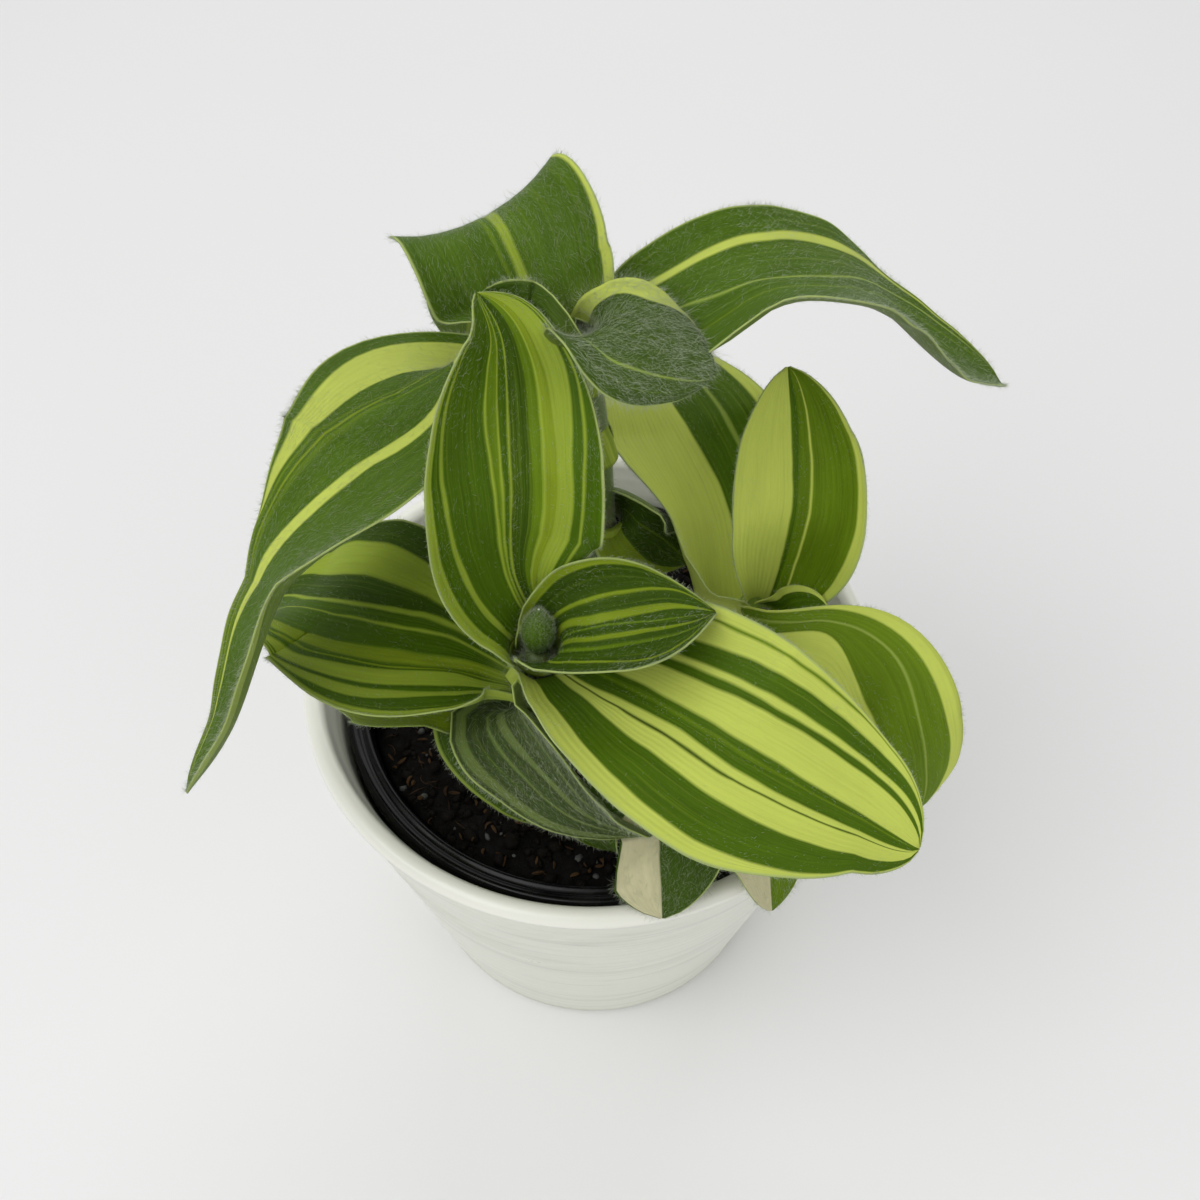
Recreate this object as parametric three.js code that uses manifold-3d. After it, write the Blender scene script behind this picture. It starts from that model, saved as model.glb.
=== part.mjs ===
// Potted tradescantia: a striped, velvety house plant in a black nursery pot inside a round glazed pot.
// Millimetres, +Z up. The origin is the middle of the glazed pot's underside, and the front is towards -Y.
import * as THREE from "three";
import { mergeVertices } from "three/addons/utils/BufferGeometryUtils.js";
import Module from "manifold-3d";

const wasm = await Module();
wasm.setup();

// Driving dimensions
const GAP = 0.3; // clearance left between pieces that touch
const COVER = {
  height: 91.4, rim: 60, base: 40, wall: 4.5, floor: 5, foot: 2,
  lip: 2.2, lipSteps: 6, lipLean: 0.05, throat: 14, hollow: 4, bands: [0.35, 0.7], segments: 56,
};
const NURSERY = { height: 83, rim: 52, lip: 49.4, base: 31.5, wall: 1.1, ledge: 6, edge: 0.7, segments: 48 };
const SOIL = { level: 78.5, mound: 2.2, brim: 5, rings: [0.75, 0.5, 0.25], segments: 32 };
const STEM = { radius: 3, swelling: 0.35, swellingReach: 3, taper: 0.25, taperFrom: 0.9, sides: 8, step: 5 };
const BLADE = { thickness: 0.9, row: 6.5, endRows: 2, columns: 7, narrow: 15, narrowColumns: 5 };
const SHEATH = { ring: 4, height: 3.2, flare: 0.4, wrap: 150, blend: 0.14 };
// How a blade widens from its neck to its widest place and narrows to its tip, unless its leaf says otherwise
const OUTLINE = { widest: 0.42, neck: 0.5, rise: 1.15, taper: 2.2, point: 0.62, least: 0.5 };
const FRAME_STEPS = 160;
const CURVE_STEPS = 400;
const HALVINGS = 40; // steps of the search for a height on a stem
const FLAT = 0.001; // the bend of a blade that is flat across, in radians
const WELD = 1e-4; // points nearer than this are one

// Each stem: points on its centre line from the soil up.
const STEMS = {
  tall: [[1, 4, 70], [2, 6, 110], [1, 4.5, 150], [-2.5, 4, 176.5]],
  front: [[-4, -9, 70], [-7, -18, 100], [-9.5, -28, 122], [-9, -31, 136]],
  right: [[16, -2, 70], [24, -5, 98], [31, -9, 112], [34.2, -11, 117.6]],
  low: [[10, -22, 70], [12, -26, 90], [13, -28, 97]],
};

// Each leaf: its stem, the height of its node, the compass angle that it leaves by (0 is +X, 90 is +Y),
// its full width, the points of its midrib as [x, y, z, roll], and how far it is cupped from foot to tip.
// A negative cup has its edges turned down. minus and plus widen or narrow its two sides from foot to tip.
const LEAVES = {
  leaf_young_right: {
    stem: "tall", node: 175, facing: -30, width: 25, cup: [60, -10, -50, -70], blend: 0.25,
    minus: [1, 0.75, 0.75, 0.85, 1.15, 1.2], plus: [1, 1.05, 1.08, 1.05, 1, 1],
    path: [[3, 0.5, 181.5, 0], [8, -2.5, 182.5, 0], [14, -5.5, 181, 0], [19.5, -8.5, 179, 0]],
  },
  leaf_young_left: {
    stem: "tall", node: 174, facing: 190, width: 19, cup: [60, 40, 30], blend: 0.2,
    plus: [1, 0.8, 0.75, 0.7, 0.8],
    path: [[-8.5, 7, 174.5, 0], [-14, 12.5, 173.5, -15], [-20.5, 16, 174, -20]],
  },
  leaf_back_left: {
    stem: "tall", node: 170, facing: 130, width: 33.5, cup: [54, 42, 17, 14, 15, 30],
    minus: [1, 1.31, 1.46, 1.27, 1.12, 0.72, 0.65, 0.7, 0.8, 0.9, 1],
    plus: [1, 1.34, 1.09, 0.98, 0.88, 0.98, 1, 1, 1, 1, 1],
    path: [[-8.5, 13.5, 179, -29], [-14, 21, 185.5, -14], [-18.5, 30, 179.5, -13], [-20.5, 37.5, 168, -10],
      [-24.5, 34, 147, -3]],
  },
  leaf_arching_right: {
    stem: "tall", node: 166, facing: 10, width: 32, cup: [60, 40, 25, 20, 30, 45],
    path: [[11, 8.5, 176, 12], [22.5, 10, 181.5, 4], [33.5, 13.5, 180.5, 5], [46, 20.5, 172.5, 10],
      [64, 26.5, 152.5, 15], [80, 32, 139, 14]],
  },
  leaf_arching_left: {
    stem: "tall", node: 148, facing: 190, width: 34, cup: [60, 30, 20, 25, 30, 30],
    path: [[-9.5, 14.5, 154.5, -4], [-30, 12, 160.5, -12], [-36, -8.5, 162, -25], [-50, -31, 153, 21],
      [-58, -48.5, 140, 23], [-65, -56.5, 133, 25]],
  },
  leaf_low_back: {
    stem: "tall", node: 127, facing: 15, width: 24, cup: [60, 40, 30],
    path: [[9, 3, 131, 0], [15, 5, 125, 0], [20, 6, 116, 0]],
  },
  leaf_front_young: {
    stem: "front", node: 135, facing: 0, width: 26, cup: [90, 70, 60, 60], ring: 3.8, height: 3, wrap: 172,
    blend: 0.3, taper: 1.5, point: 0.8, plus: [1, 1, 1.25, 1.08, 1, 1, 1, 1, 1, 1, 1],
    path: [[-4, -31.5, 141, 0], [1.5, -33, 145.5, 8], [12.5, -31, 145, 5], [21, -28.5, 144, -9]],
  },
  leaf_front_upright: {
    stem: "front", node: 130.5, facing: 100, width: 33, cup: [80, 60, 50, 50, 50],
    plus: [1, 0.5, 0.55, 0.8, 1, 1, 1, 1, 1, 1, 1],
    path: [[-9, -26, 136.5, 3], [-12.5, -23.5, 149.5, -1], [-12.5, -17.5, 166.5, -6], [-14.5, -1, 180, 25],
      [-18, 4, 185, 31]],
  },
  leaf_front_large: {
    stem: "front", node: 126.5, facing: -20, width: 42, cup: [60, 30, 20, 25, 40], wrap: 80, blend: 0.2,
    plus: [1, 1.3, 1.12, 1.05, 1, 1, 1, 1, 1, 1, 1],
    path: [[-6, -30, 132, -13], [13.5, -43.5, 135.5, -4], [24.5, -51, 135.5, 2], [44.5, -58, 128.5, -11],
      [54, -62, 124, 2]],
  },
  leaf_front_left: {
    stem: "front", node: 121, facing: 190, width: 40.5, cup: [60, 30, 20, 25, 40], wrap: 110,
    path: [[-18.5, -28.5, 124.5, 5], [-33.5, -24.5, 130, -10], [-44.5, -14, 129, -15], [-54.5, -10, 123.5, 0],
      [-65, -8.5, 115, -8]],
  },
  leaf_front_low: {
    stem: "front", node: 114, facing: -60, width: 30, cup: [60, 40, 30, 30],
    path: [[-14, -33, 121, -19], [-8, -40.5, 115, -13], [-1, -45, 108.5, -9], [11, -48, 103, 6]],
  },
  leaf_left_low: {
    stem: "front", node: 109, facing: 200, width: 26, cup: [60, 40, 30, 30],
    path: [[-23, -22.5, 113.5, -4], [-31.5, -23, 113, 1], [-41.5, -19, 108, -3], [-49.5, -18.5, 104, -1]],
  },
  leaf_front_lowest: {
    stem: "front", node: 102, facing: -75, width: 27.5, cup: [60, 40, 30, 30],
    path: [[-17, -28, 112.5, -22], [-11, -38.5, 104, 1], [-2, -42, 97.5, 8], [4.5, -44.5, 90.5, 4]],
  },
  leaf_right_young: {
    stem: "right", node: 117, facing: -15, width: 12, cup: [90, 70, 60],
    ring: 3.3, height: 3, wrap: 172, blend: 0.35,
    path: [[37.5, -12.6, 122.2, 0], [40, -13.6, 125, 0], [43.2, -14.2, 127, 0]],
  },
  leaf_right_upright: {
    stem: "right", node: 113, facing: 70, width: 27.5, cup: [80, 50, 40, 40],
    path: [[36.5, -3.5, 126.5, 5], [38.5, -1, 139, 1], [37, 8, 149.5, 3], [35, 14.5, 159.5, 10]],
  },
  leaf_right_drooping: {
    stem: "right", node: 109, facing: -30, width: 28, cup: [40, -20, -30, -30],
    path: [[35, -20, 118, 51], [50.5, -25, 117.5, 47], [57, -33, 111, 43], [62.5, -37, 93.5, 35]],
  },
  leaf_right_back: {
    stem: "right", node: 104, facing: 150, width: 36.5, cup: [60, 30, 20, 20],
    path: [[23, -6.5, 113.5, 9], [23.5, 8.5, 126, -7], [19, 26, 132.5, -31], [7.5, 54, 134.5, -6]],
  },
  leaf_rim_left: {
    stem: "low", node: 90, facing: -80, width: 29, cup: [60, 30, 20, 20],
    path: [[12.5, -41, 101.5, -2], [12.5, -49.5, 100, -5], [13, -60, 94, 5]],
  },
  leaf_rim_right: {
    stem: "low", node: 85.5, facing: -40, width: 19.5, cup: [60, 30, 20, 20],
    path: [[25, -39, 102, 0], [32, -48, 97, 3], [33.5, -56, 89, -8]],
  },
};

// The rolled leaf bud in the middle of the front rosette
const BUD = {
  radius: 2.9, length: 9, lean: [0.05, 0.2, 1], foot: 0.12, span: 0.86, power: 0.8, tip: 0.3,
  sides: 12, steps: 8,
};

const COLOURS = {
  glaze: { color: 0xe6e9dc, roughness: 0.3 },
  plastic: { color: 0x17181a, roughness: 0.35 },
  soil: { color: 0x241a14, roughness: 0.95 },
  stem: { color: 0x7f9a4a, roughness: 0.7 },
  leaf: { color: 0x4f7a1e, roughness: 0.65 },
  lightLeaf: { color: 0x9db33c, roughness: 0.65 },
};

const vector = ([x, y, z]) => new THREE.Vector3(x, y, z);
const radians = THREE.MathUtils.degToRad;
const smooth = (from, to, value) => THREE.MathUtils.smoothstep(value, from, to);

// A value read from a list that is spread evenly over 0 to 1
function along(list, share) {
  const place = THREE.MathUtils.clamp(share, 0, 1) * (list.length - 1);
  const low = Math.min(Math.floor(place), list.length - 2);
  return THREE.MathUtils.lerp(list[low], list[low + 1], place - low);
}

const curveThrough = (points) => new THREE.CatmullRomCurve3(points, false, "centripetal");

// The point of a stem at a given height, and its direction there
function stemAt(name, height) {
  const curve = curveThrough(STEMS[name].map(vector));
  let low = 0;
  let high = 1;
  for (let i = 0; i < HALVINGS; i++) {
    const middle = (low + high) / 2;
    if (curve.getPoint(middle).z < height) low = middle;
    else high = middle;
  }
  return { point: curve.getPoint(low), direction: curve.getTangent(low) };
}

// A frame carried along a curve without twist, then turned by the roll that the points give
function carriedFrames(curve, face, rolls) {
  const lengths = curve.getLengths(CURVE_STEPS);
  const stepAt = (i) => Math.round((i * CURVE_STEPS) / (rolls.length - 1));
  const shares = rolls.map((_, i) => lengths[stepAt(i)] / lengths[CURVE_STEPS]);
  const frames = [];
  let normal = face.clone();
  for (let i = 0; i <= FRAME_STEPS; i++) {
    const share = i / FRAME_STEPS;
    const tangent = curve.getTangentAt(share);
    normal = normal.clone().addScaledVector(tangent, -normal.dot(tangent)).normalize();
    let k = 0;
    while (k < shares.length - 2 && share > shares[k + 1]) k++;
    const part = (share - shares[k]) / (shares[k + 1] - shares[k]);
    const roll = radians(THREE.MathUtils.lerp(rolls[k], rolls[k + 1], THREE.MathUtils.clamp(part, 0, 1)));
    const rolled = normal.clone().applyAxisAngle(tangent, roll);
    frames.push({ point: curve.getPointAt(share), normal: rolled, side: tangent.clone().cross(rolled) });
  }
  return frames;
}

// Half the width of a blade: an ellipse-like swelling from the neck to the widest place, then an acute tip
function halfWidth(leaf, share) {
  const rise = Math.sin((Math.PI / 2) * Math.min(share / leaf.widest, 1)) ** leaf.rise;
  const past = Math.max((share - leaf.widest) / (1 - leaf.widest), 0);
  const fall = Math.max(1 - past ** leaf.taper, 0) ** leaf.point;
  const blade = (leaf.width / 2) * (share < leaf.widest ? leaf.neck + (1 - leaf.neck) * rise : fall);
  const clasp = leaf.ring * radians(leaf.wrap);
  return Math.max(THREE.MathUtils.lerp(clasp, blade, smooth(0, leaf.blend, share)), leaf.least);
}

// The middle surface of a leaf as rows of points, from the sheath that clasps the stem to the tip
function leafRows(given, margin = 0) {
  const leaf = { minus: [1, 1], plus: [1, 1], ...SHEATH, ...OUTLINE, ...given };
  const { point, direction } = stemAt(leaf.stem, leaf.node);
  const angle = radians(leaf.facing);
  const out = new THREE.Vector3(Math.cos(angle), Math.sin(angle), 0);
  out.addScaledVector(direction, -out.dot(direction)).normalize();
  const foot = point.clone().addScaledVector(out, leaf.ring);
  const top = foot.clone().addScaledVector(direction, leaf.height).addScaledVector(out, leaf.flare);
  const curve = curveThrough([foot, top, ...leaf.path.map(vector)]);
  const frames = carriedFrames(curve, out.clone().negate(), [0, 0, ...leaf.path.map((p) => p[3])]);
  const cups = [leaf.wrap, ...leaf.cup];
  const rows = Math.round(curve.getLength() / BLADE.row) + BLADE.endRows;
  const columns = leaf.width < BLADE.narrow ? BLADE.narrowColumns : BLADE.columns;
  const grid = [];
  for (let i = 0; i < rows; i++) {
    const share = i / (rows - 1);
    const frame = frames[Math.round(share * FRAME_STEPS)];
    const half = halfWidth(leaf, share);
    const cup = radians(along(cups, share)) || FLAT;
    const row = [];
    for (let j = 0; j < columns; j++) {
      const across = ((2 * j) / (columns - 1) - 1) * (j % (columns - 1) ? 1 : 1 + margin / half);
      const reach = half * along(across < 0 ? leaf.minus : leaf.plus, share);
      const bend = cup * Math.abs(across);
      const sideways = ((reach * Math.sin(bend)) / cup) * Math.sign(across);
      const lift = (reach * (1 - Math.cos(bend))) / cup;
      row.push(frame.point.clone().addScaledVector(frame.side, sideways).addScaledVector(frame.normal, lift));
    }
    grid.push(row);
  }
  lengthen(grid[0], grid[1], margin);
  lengthen(grid[rows - 1], grid[rows - 2], margin);
  return grid;
}

// Moves an end row of a grid away from the row next to it
function lengthen(end, next, margin) {
  end.forEach((p, j) => p.addScaledVector(p.clone().sub(next[j]).normalize(), margin));
}

// The surface normal at each point of a grid, from its neighbours
function gridNormals(grid) {
  return grid.map((row, i) => row.map((_, j) => {
    const before = grid[Math.max(i - 1, 0)][j];
    const after = grid[Math.min(i + 1, grid.length - 1)][j];
    const left = row[Math.max(j - 1, 0)];
    const right = row[Math.min(j + 1, row.length - 1)];
    return right.clone().sub(left).cross(after.clone().sub(before)).normalize();
  }));
}

function geometryFrom(points, faces) {
  const geometry = new THREE.BufferGeometry();
  const numbers = points.flatMap((p) => [p.x, p.y, p.z]);
  geometry.setAttribute("position", new THREE.Float32BufferAttribute(numbers, 3));
  geometry.setIndex(faces.flat());
  return geometry;
}

// A closed shell of even thickness round a grid, split into triangles alike on both faces
function shell(grid, thickness) {
  const normals = gridNormals(grid);
  const rows = grid.length;
  const columns = grid[0].length;
  const moved = (i, j, offset) => grid[i][j].clone().addScaledVector(normals[i][j], offset);
  const face = (offset) => grid.flatMap((row, i) => row.map((_, j) => moved(i, j, offset)));
  const under = rows * columns;
  const at = (i, j) => i * columns + j;
  const faces = [];
  for (let i = 0; i < rows - 1; i++) {
    for (let j = 0; j < columns - 1; j++) {
      const [a, b, c, d] = [at(i, j), at(i, j + 1), at(i + 1, j + 1), at(i + 1, j)];
      faces.push([a, b, c], [a, c, d]);
      faces.push([under + a, under + c, under + b], [under + a, under + d, under + c]);
    }
  }
  const edge = (a, b) => faces.push([a, under + a, under + b], [a, under + b, b]);
  for (let j = 0; j < columns - 1; j++) {
    edge(at(0, j), at(0, j + 1));
    edge(at(rows - 1, j + 1), at(rows - 1, j));
  }
  for (let i = 0; i < rows - 1; i++) {
    edge(at(i + 1, 0), at(i, 0));
    edge(at(i, columns - 1), at(i + 1, columns - 1));
  }
  return geometryFrom([...face(thickness / 2), ...face(-thickness / 2)], faces);
}

// A round closed body along a curve, with a radius for each share of its length
function roundBody(curve, radiusAt, sides, steps) {
  const points = [];
  const faces = [];
  let normal = new THREE.Vector3(1, 0, 0);
  for (let i = 0; i <= steps; i++) {
    const share = i / steps;
    const tangent = curve.getTangentAt(share);
    normal = normal.clone().addScaledVector(tangent, -normal.dot(tangent)).normalize();
    const side = tangent.clone().cross(normal);
    const centre = curve.getPointAt(share);
    for (let j = 0; j < sides; j++) {
      const turn = (2 * Math.PI * j) / sides;
      const spoke = normal.clone().multiplyScalar(Math.cos(turn)).addScaledVector(side, Math.sin(turn));
      points.push(centre.clone().addScaledVector(spoke, radiusAt(share)));
    }
  }
  for (let i = 0; i < steps; i++) {
    for (let j = 0; j < sides; j++) {
      const next = (j + 1) % sides;
      const [a, b] = [i * sides + j, i * sides + next];
      faces.push([a, b, b + sides], [a, b + sides, a + sides]);
    }
  }
  const bottom = points.push(curve.getPointAt(0)) - 1;
  const top = points.push(curve.getPointAt(1)) - 1;
  for (let j = 0; j < sides; j++) {
    const next = (j + 1) % sides;
    faces.push([bottom, next, j], [top, steps * sides + j, steps * sides + next]);
  }
  return geometryFrom(points, faces);
}

// A geometry as a solid for cutting and joining, and back
function solid(geometry) {
  const bare = geometry.clone();
  bare.deleteAttribute("normal");
  bare.deleteAttribute("uv");
  const merged = mergeVertices(bare, WELD);
  return new wasm.Manifold(new wasm.Mesh({
    numProp: 3,
    vertProperties: merged.attributes.position.array,
    triVerts: new Uint32Array(merged.index.array),
  }));
}

function geometryOf(body) {
  const mesh = body.getMesh();
  const geometry = new THREE.BufferGeometry();
  geometry.setAttribute("position", new THREE.BufferAttribute(mesh.vertProperties, 3));
  geometry.setIndex(new THREE.BufferAttribute(mesh.triVerts, 1));
  return geometry;
}

// The largest of the bodies that a cut leaves
const largest = (body) => body.decompose().sort((a, b) => b.volume() - a.volume())[0];

// A closed profile of [radius, height] turned round the vertical axis
function turned(profile, segments) {
  const points = profile.map(([radius, height]) => new THREE.Vector2(radius, height));
  return new THREE.LatheGeometry(points, segments).rotateX(Math.PI / 2);
}

// The outer glazed pot: a straight-sided cone with a round lip and a hollow for the nursery pot
function coverPot() {
  const { height, rim, base, wall, floor, lip, foot } = COVER;
  const outside = (z) => base + ((rim - base) * z) / height;
  const profile = [[0, 0], [base - foot, 0], [outside(foot), foot]];
  for (const share of COVER.bands) profile.push([outside(height * share), height * share]);
  for (let i = 0; i <= COVER.lipSteps; i++) {
    const turn = (Math.PI * i) / COVER.lipSteps;
    profile.push([rim - lip + lip * Math.cos(turn) - COVER.lipLean * i, height - lip + lip * Math.sin(turn)]);
  }
  for (const z of [height - COVER.throat, floor + COVER.hollow]) profile.push([outside(z) - wall, z]);
  profile.push([outside(floor) - wall - COVER.hollow, floor], [0, floor]);
  return turned(profile, COVER.segments);
}

// The radius of the nursery pot's outer wall at a height above its foot on the floor of the glazed pot
const nurseryFoot = COVER.floor + GAP;
const nurseryOutside = (z) => NURSERY.base
  + ((NURSERY.lip - NURSERY.base) * (z - nurseryFoot)) / (NURSERY.height - nurseryFoot);

// The black nursery pot with the broad ring round its rim
function nurseryPot() {
  const { height, rim, lip, base, wall, ledge, edge } = NURSERY;
  const under = height - ledge;
  const inner = lip - wall - edge;
  const profile = [[0, nurseryFoot], [base, nurseryFoot], [nurseryOutside(under), under]];
  profile.push([rim - edge, under], [rim, under + edge], [rim, height - edge], [rim - edge, height]);
  profile.push([inner, height], [inner - edge, height - edge], [nurseryOutside(under) - wall, under - edge]);
  profile.push([base - wall, nurseryFoot + wall], [0, nurseryFoot + wall]);
  return turned(profile, NURSERY.segments);
}

// The soil fills the nursery pot and rises a little to the middle, with a hole round each stem
function soilBody(holes) {
  const { level, mound, brim } = SOIL;
  const inside = (z) => nurseryOutside(z) - NURSERY.wall - 2 * GAP;
  const bottom = nurseryFoot + NURSERY.wall + GAP;
  const edge = inside(level - brim);
  const profile = [[0, bottom], [inside(bottom) - 2 * GAP, bottom]];
  profile.push([edge, level - brim], [edge, level]);
  for (const share of SOIL.rings) profile.push([edge * share, level + mound * (1 - share ** 2)]);
  profile.push([0, level + mound]);
  let body = solid(turned(profile, SOIL.segments));
  for (const hole of holes) body = body.subtract(solid(hole));
  return geometryOf(body);
}

// A stem with a slight swelling at each node; wider by a margin, it cuts the clearance round it
function stem(name, margin = 0) {
  const curve = curveThrough(STEMS[name].map(vector));
  const nodes = Object.values(LEAVES).filter((leaf) => leaf.stem === name).map((leaf) => leaf.node);
  const steps = Math.ceil(curve.getLength() / STEM.step);
  const swellingFrom = (node, z) => Math.exp(-(((z - node) / STEM.swellingReach) ** 2));
  const swellingAt = (z) => Math.max(...nodes.map((node) => swellingFrom(node, z)));
  const radiusAt = (share) => {
    const full = STEM.radius - STEM.swelling * (1 - swellingAt(curve.getPointAt(share).z));
    return full * (1 - STEM.taper * smooth(STEM.taperFrom, 1, share)) + margin;
  };
  return roundBody(curve, radiusAt, STEM.sides, steps);
}

// The rolled bud stands a little clear of the top of the front stem.
function leafBud() {
  const { point } = stemAt("front", STEMS.front.at(-1)[2]);
  const lean = vector(BUD.lean).normalize();
  const foot = point.clone().addScaledVector(lean, 3 * GAP);
  const curve = new THREE.LineCurve3(foot, foot.clone().addScaledVector(lean, BUD.length));
  const spindle = (share) => BUD.radius * Math.sin(Math.PI * (BUD.foot + BUD.span * share)) ** BUD.power;
  return roundBody(curve, (share) => Math.max(spindle(share), BUD.tip), BUD.sides, BUD.steps);
}

const group = new THREE.Group();

function add(name, geometry, look) {
  const mesh = new THREE.Mesh(geometry, new THREE.MeshStandardMaterial({ ...look, metalness: 0 }));
  mesh.name = name;
  group.add(mesh);
}

add("cover_pot", coverPot(), COLOURS.glaze);
add("nursery_pot", nurseryPot(), COLOURS.plastic);
add("soil", soilBody(Object.keys(STEMS).map((name) => stem(name, GAP))), COLOURS.soil);
for (const name of Object.keys(STEMS)) add("stem_" + name, stem(name), COLOURS.stem);
add("leaf_bud_front", leafBud(), COLOURS.lightLeaf);

// Each leaf is cut clear of the stems, and of the leaves inside it in its rosette.
const placed = [solid(leafBud()), ...Object.keys(STEMS).map((name) => solid(stem(name, GAP)))];
for (const [name, leaf] of Object.entries(LEAVES)) {
  let body = solid(shell(leafRows(leaf), BLADE.thickness));
  for (const other of placed) body = body.subtract(other);
  add(name, geometryOf(largest(body)), COLOURS.leaf);
  placed.push(solid(shell(leafRows(leaf, GAP), BLADE.thickness + 2 * GAP)));
}

export default group;
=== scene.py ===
import math

import bmesh
import bpy
import numpy as np
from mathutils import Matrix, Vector
from mathutils.bvhtree import BVHTree


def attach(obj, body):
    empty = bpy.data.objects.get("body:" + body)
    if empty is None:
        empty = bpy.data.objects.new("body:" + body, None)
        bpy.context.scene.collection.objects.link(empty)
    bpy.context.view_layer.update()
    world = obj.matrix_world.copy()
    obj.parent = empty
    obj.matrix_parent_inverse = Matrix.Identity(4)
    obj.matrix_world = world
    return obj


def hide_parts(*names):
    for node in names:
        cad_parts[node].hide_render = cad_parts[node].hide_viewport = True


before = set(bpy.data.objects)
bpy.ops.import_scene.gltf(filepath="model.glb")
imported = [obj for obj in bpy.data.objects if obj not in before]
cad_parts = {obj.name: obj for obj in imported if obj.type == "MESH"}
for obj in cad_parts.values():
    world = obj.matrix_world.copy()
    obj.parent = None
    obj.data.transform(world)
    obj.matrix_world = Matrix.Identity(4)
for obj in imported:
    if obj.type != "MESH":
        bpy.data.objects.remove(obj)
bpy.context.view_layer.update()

# Sizes in millimetres, as in the part's source
MM = 0.001
COVER = {"height": 91.4, "rim": 60.0, "base": 40.0, "wall": 4.5, "floor": 5.0, "lip": 2.2}
NURSERY = {"foot": 5.3, "height": 83.0, "rim": 52.0, "lip": 49.4, "base": 31.5, "wall": 1.1, "ledge": 6.0}
SOIL = {"bottom": 6.7, "level": 78.5, "mound": 2.2, "gap": 0.3}
SHEATH = {"ring": 4.0, "height": 3.2, "wrap": 150.0, "blend": 0.14}
SHEATH_STEP = 0.4
TAPER, POINT = 2.2, 0.62
STEM_RADIUS = 3.0
SWELLING = 0.35
BUD = {"radius": 2.9, "length": 9, "lean": [0.05, 0.2, 1], "foot": 0.12, "span": 0.86, "power": 0.8, "tip": 0.3}
WIDEST = 0.42
NECK = 0.5
STATIONS = 161
SHIFT_ROWS = 61
SHIFT_COLUMNS = 31
THICKNESS = 0.8
TURN = 2 * math.pi

# How the blades are meshed: lengths in millimetres, places across from -1 to 1
ROW_STEP, FEW_ROWS, MANY_ROWS = 1.0, 36, 84
COLUMN_STEP = 0.09
BAND_BLUR = 0.016
LEAST_BAND = 0.004

# Heights of a blade's slow waves, finer waves, sunken midrib and ribs
WAVE, FINE_WAVE, CREASE, RIB = 0.22, 0.12, 0.28, 0.03
RIB_STEP = 2.2

# How thick the hairs are, and how many there are
FINE_HAIR = (0.010, 0.017)
FRINGE_HAIR = (0.016, 0.026)
STEM_HAIR = (0.016, 0.026)
FELT_HAIR = (0.012, 0.02)
ROOTED = 0.1
FRINGE_PER_MM = 9
STRAY_SHARE = 0.05
STEM_HAIRS = 24
BUD_HAIRS = 3400

# How the pots and the soil are meshed, and the soil's lumps as (length, height)
COVER_ROWS, COVER_SEGMENTS, NURSERY_SEGMENTS = 96, 200, 144
SOIL_RINGS, SOIL_SEGMENTS = 64, 220
SOIL_LUMPS = [(17, 0.8), (7.5, 0.55), (3.4, 0.38), (1.7, 0.2)]

# The photo's view, in metres and degrees
LENS, SENSOR = 43.2, 36
CAMERA_PLACE, CAMERA_TILT = (0.001667, -0.174833, 0.335484), 37.9
SEED = 11

STEMS = {
    "tall": [[1, 4, 70], [2, 6, 110], [1, 4.5, 150], [-2.5, 4, 176.5]],
    "front": [[-4, -9, 70], [-7, -18, 100], [-9.5, -28, 122], [-9, -31, 136]],
    "right": [[16, -2, 70], [24, -5, 98], [31, -9, 112], [33, -10.5, 119.5]],
    "low": [[10, -22, 70], [12, -26, 90], [13, -28, 97]],
}
LEAVES = {}


def leaf(name, stem, node, facing, width, cup, fur, path, **shape):
    """A leaf: its stem and the node's height, the way it faces, its width, the cup along it in degrees, its fur
    (hairs to the square millimetre, their length, how blue-grey the skin is), its midrib as rows of x, y, z and
    roll, and what departs from the usual sheath and outline."""
    LEAVES[name] = dict(stem=stem, node=node, facing=facing, width=width, cup=cup, fur=fur, path=path, **shape)


leaf(
    "young_right", "tall", 175, -30, 25, [60, -10, -50, -70], (10.0, 3.2, 0.24),
    [[3, 0.5, 181.5, 0], [8, -2.5, 182.5, 0], [14, -5.5, 181, 0], [19.5, -8.5, 179, 0]],
    blend=0.25, minus=[1, 0.75, 0.75, 0.85, 1.15, 1.2], plus=[1, 1.05, 1.08, 1.05, 1, 1],
)
leaf(
    "young_left", "tall", 174, 190, 19, [60, 40, 30], (8.0, 1.6, 0.12),
    [[-8.5, 7, 174.5, 0], [-14, 12.5, 173.5, -15], [-20.5, 16, 174, -20]],
    blend=0.2, plus=[1, 0.8, 0.75, 0.7, 0.8],
)
leaf(
    "back_left", "tall", 170, 130, 33.5, [54, 42, 17, 14, 15, 30], (5.2, 1.8, 0.16),
    [[-8.5, 13.5, 179, -29], [-14, 21, 185.5, -14], [-18.5, 30, 179.5, -13], [-20.5, 37.5, 168, -10],
    [-24.5, 34, 147, -3]],
    minus=[1, 1.31, 1.46, 1.27, 1.12, 0.72, 0.65, 0.7, 0.8, 0.9, 1], plus=[1, 1.34, 1.09, 0.98, 0.88, 0.98,
    1, 1, 1, 1, 1],
)
leaf(
    "arching_right", "tall", 166, 10, 32, [60, 40, 25, 20, 30, 45], (3.6, 1.5, 0.18),
    [[11, 8.5, 176, 12], [22.5, 10, 181.5, 4], [33.5, 13.5, 180.5, 5], [46, 20.5, 172.5, 10], [64, 26.5,
    152.5, 15], [80, 32, 139, 14]],
)
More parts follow.
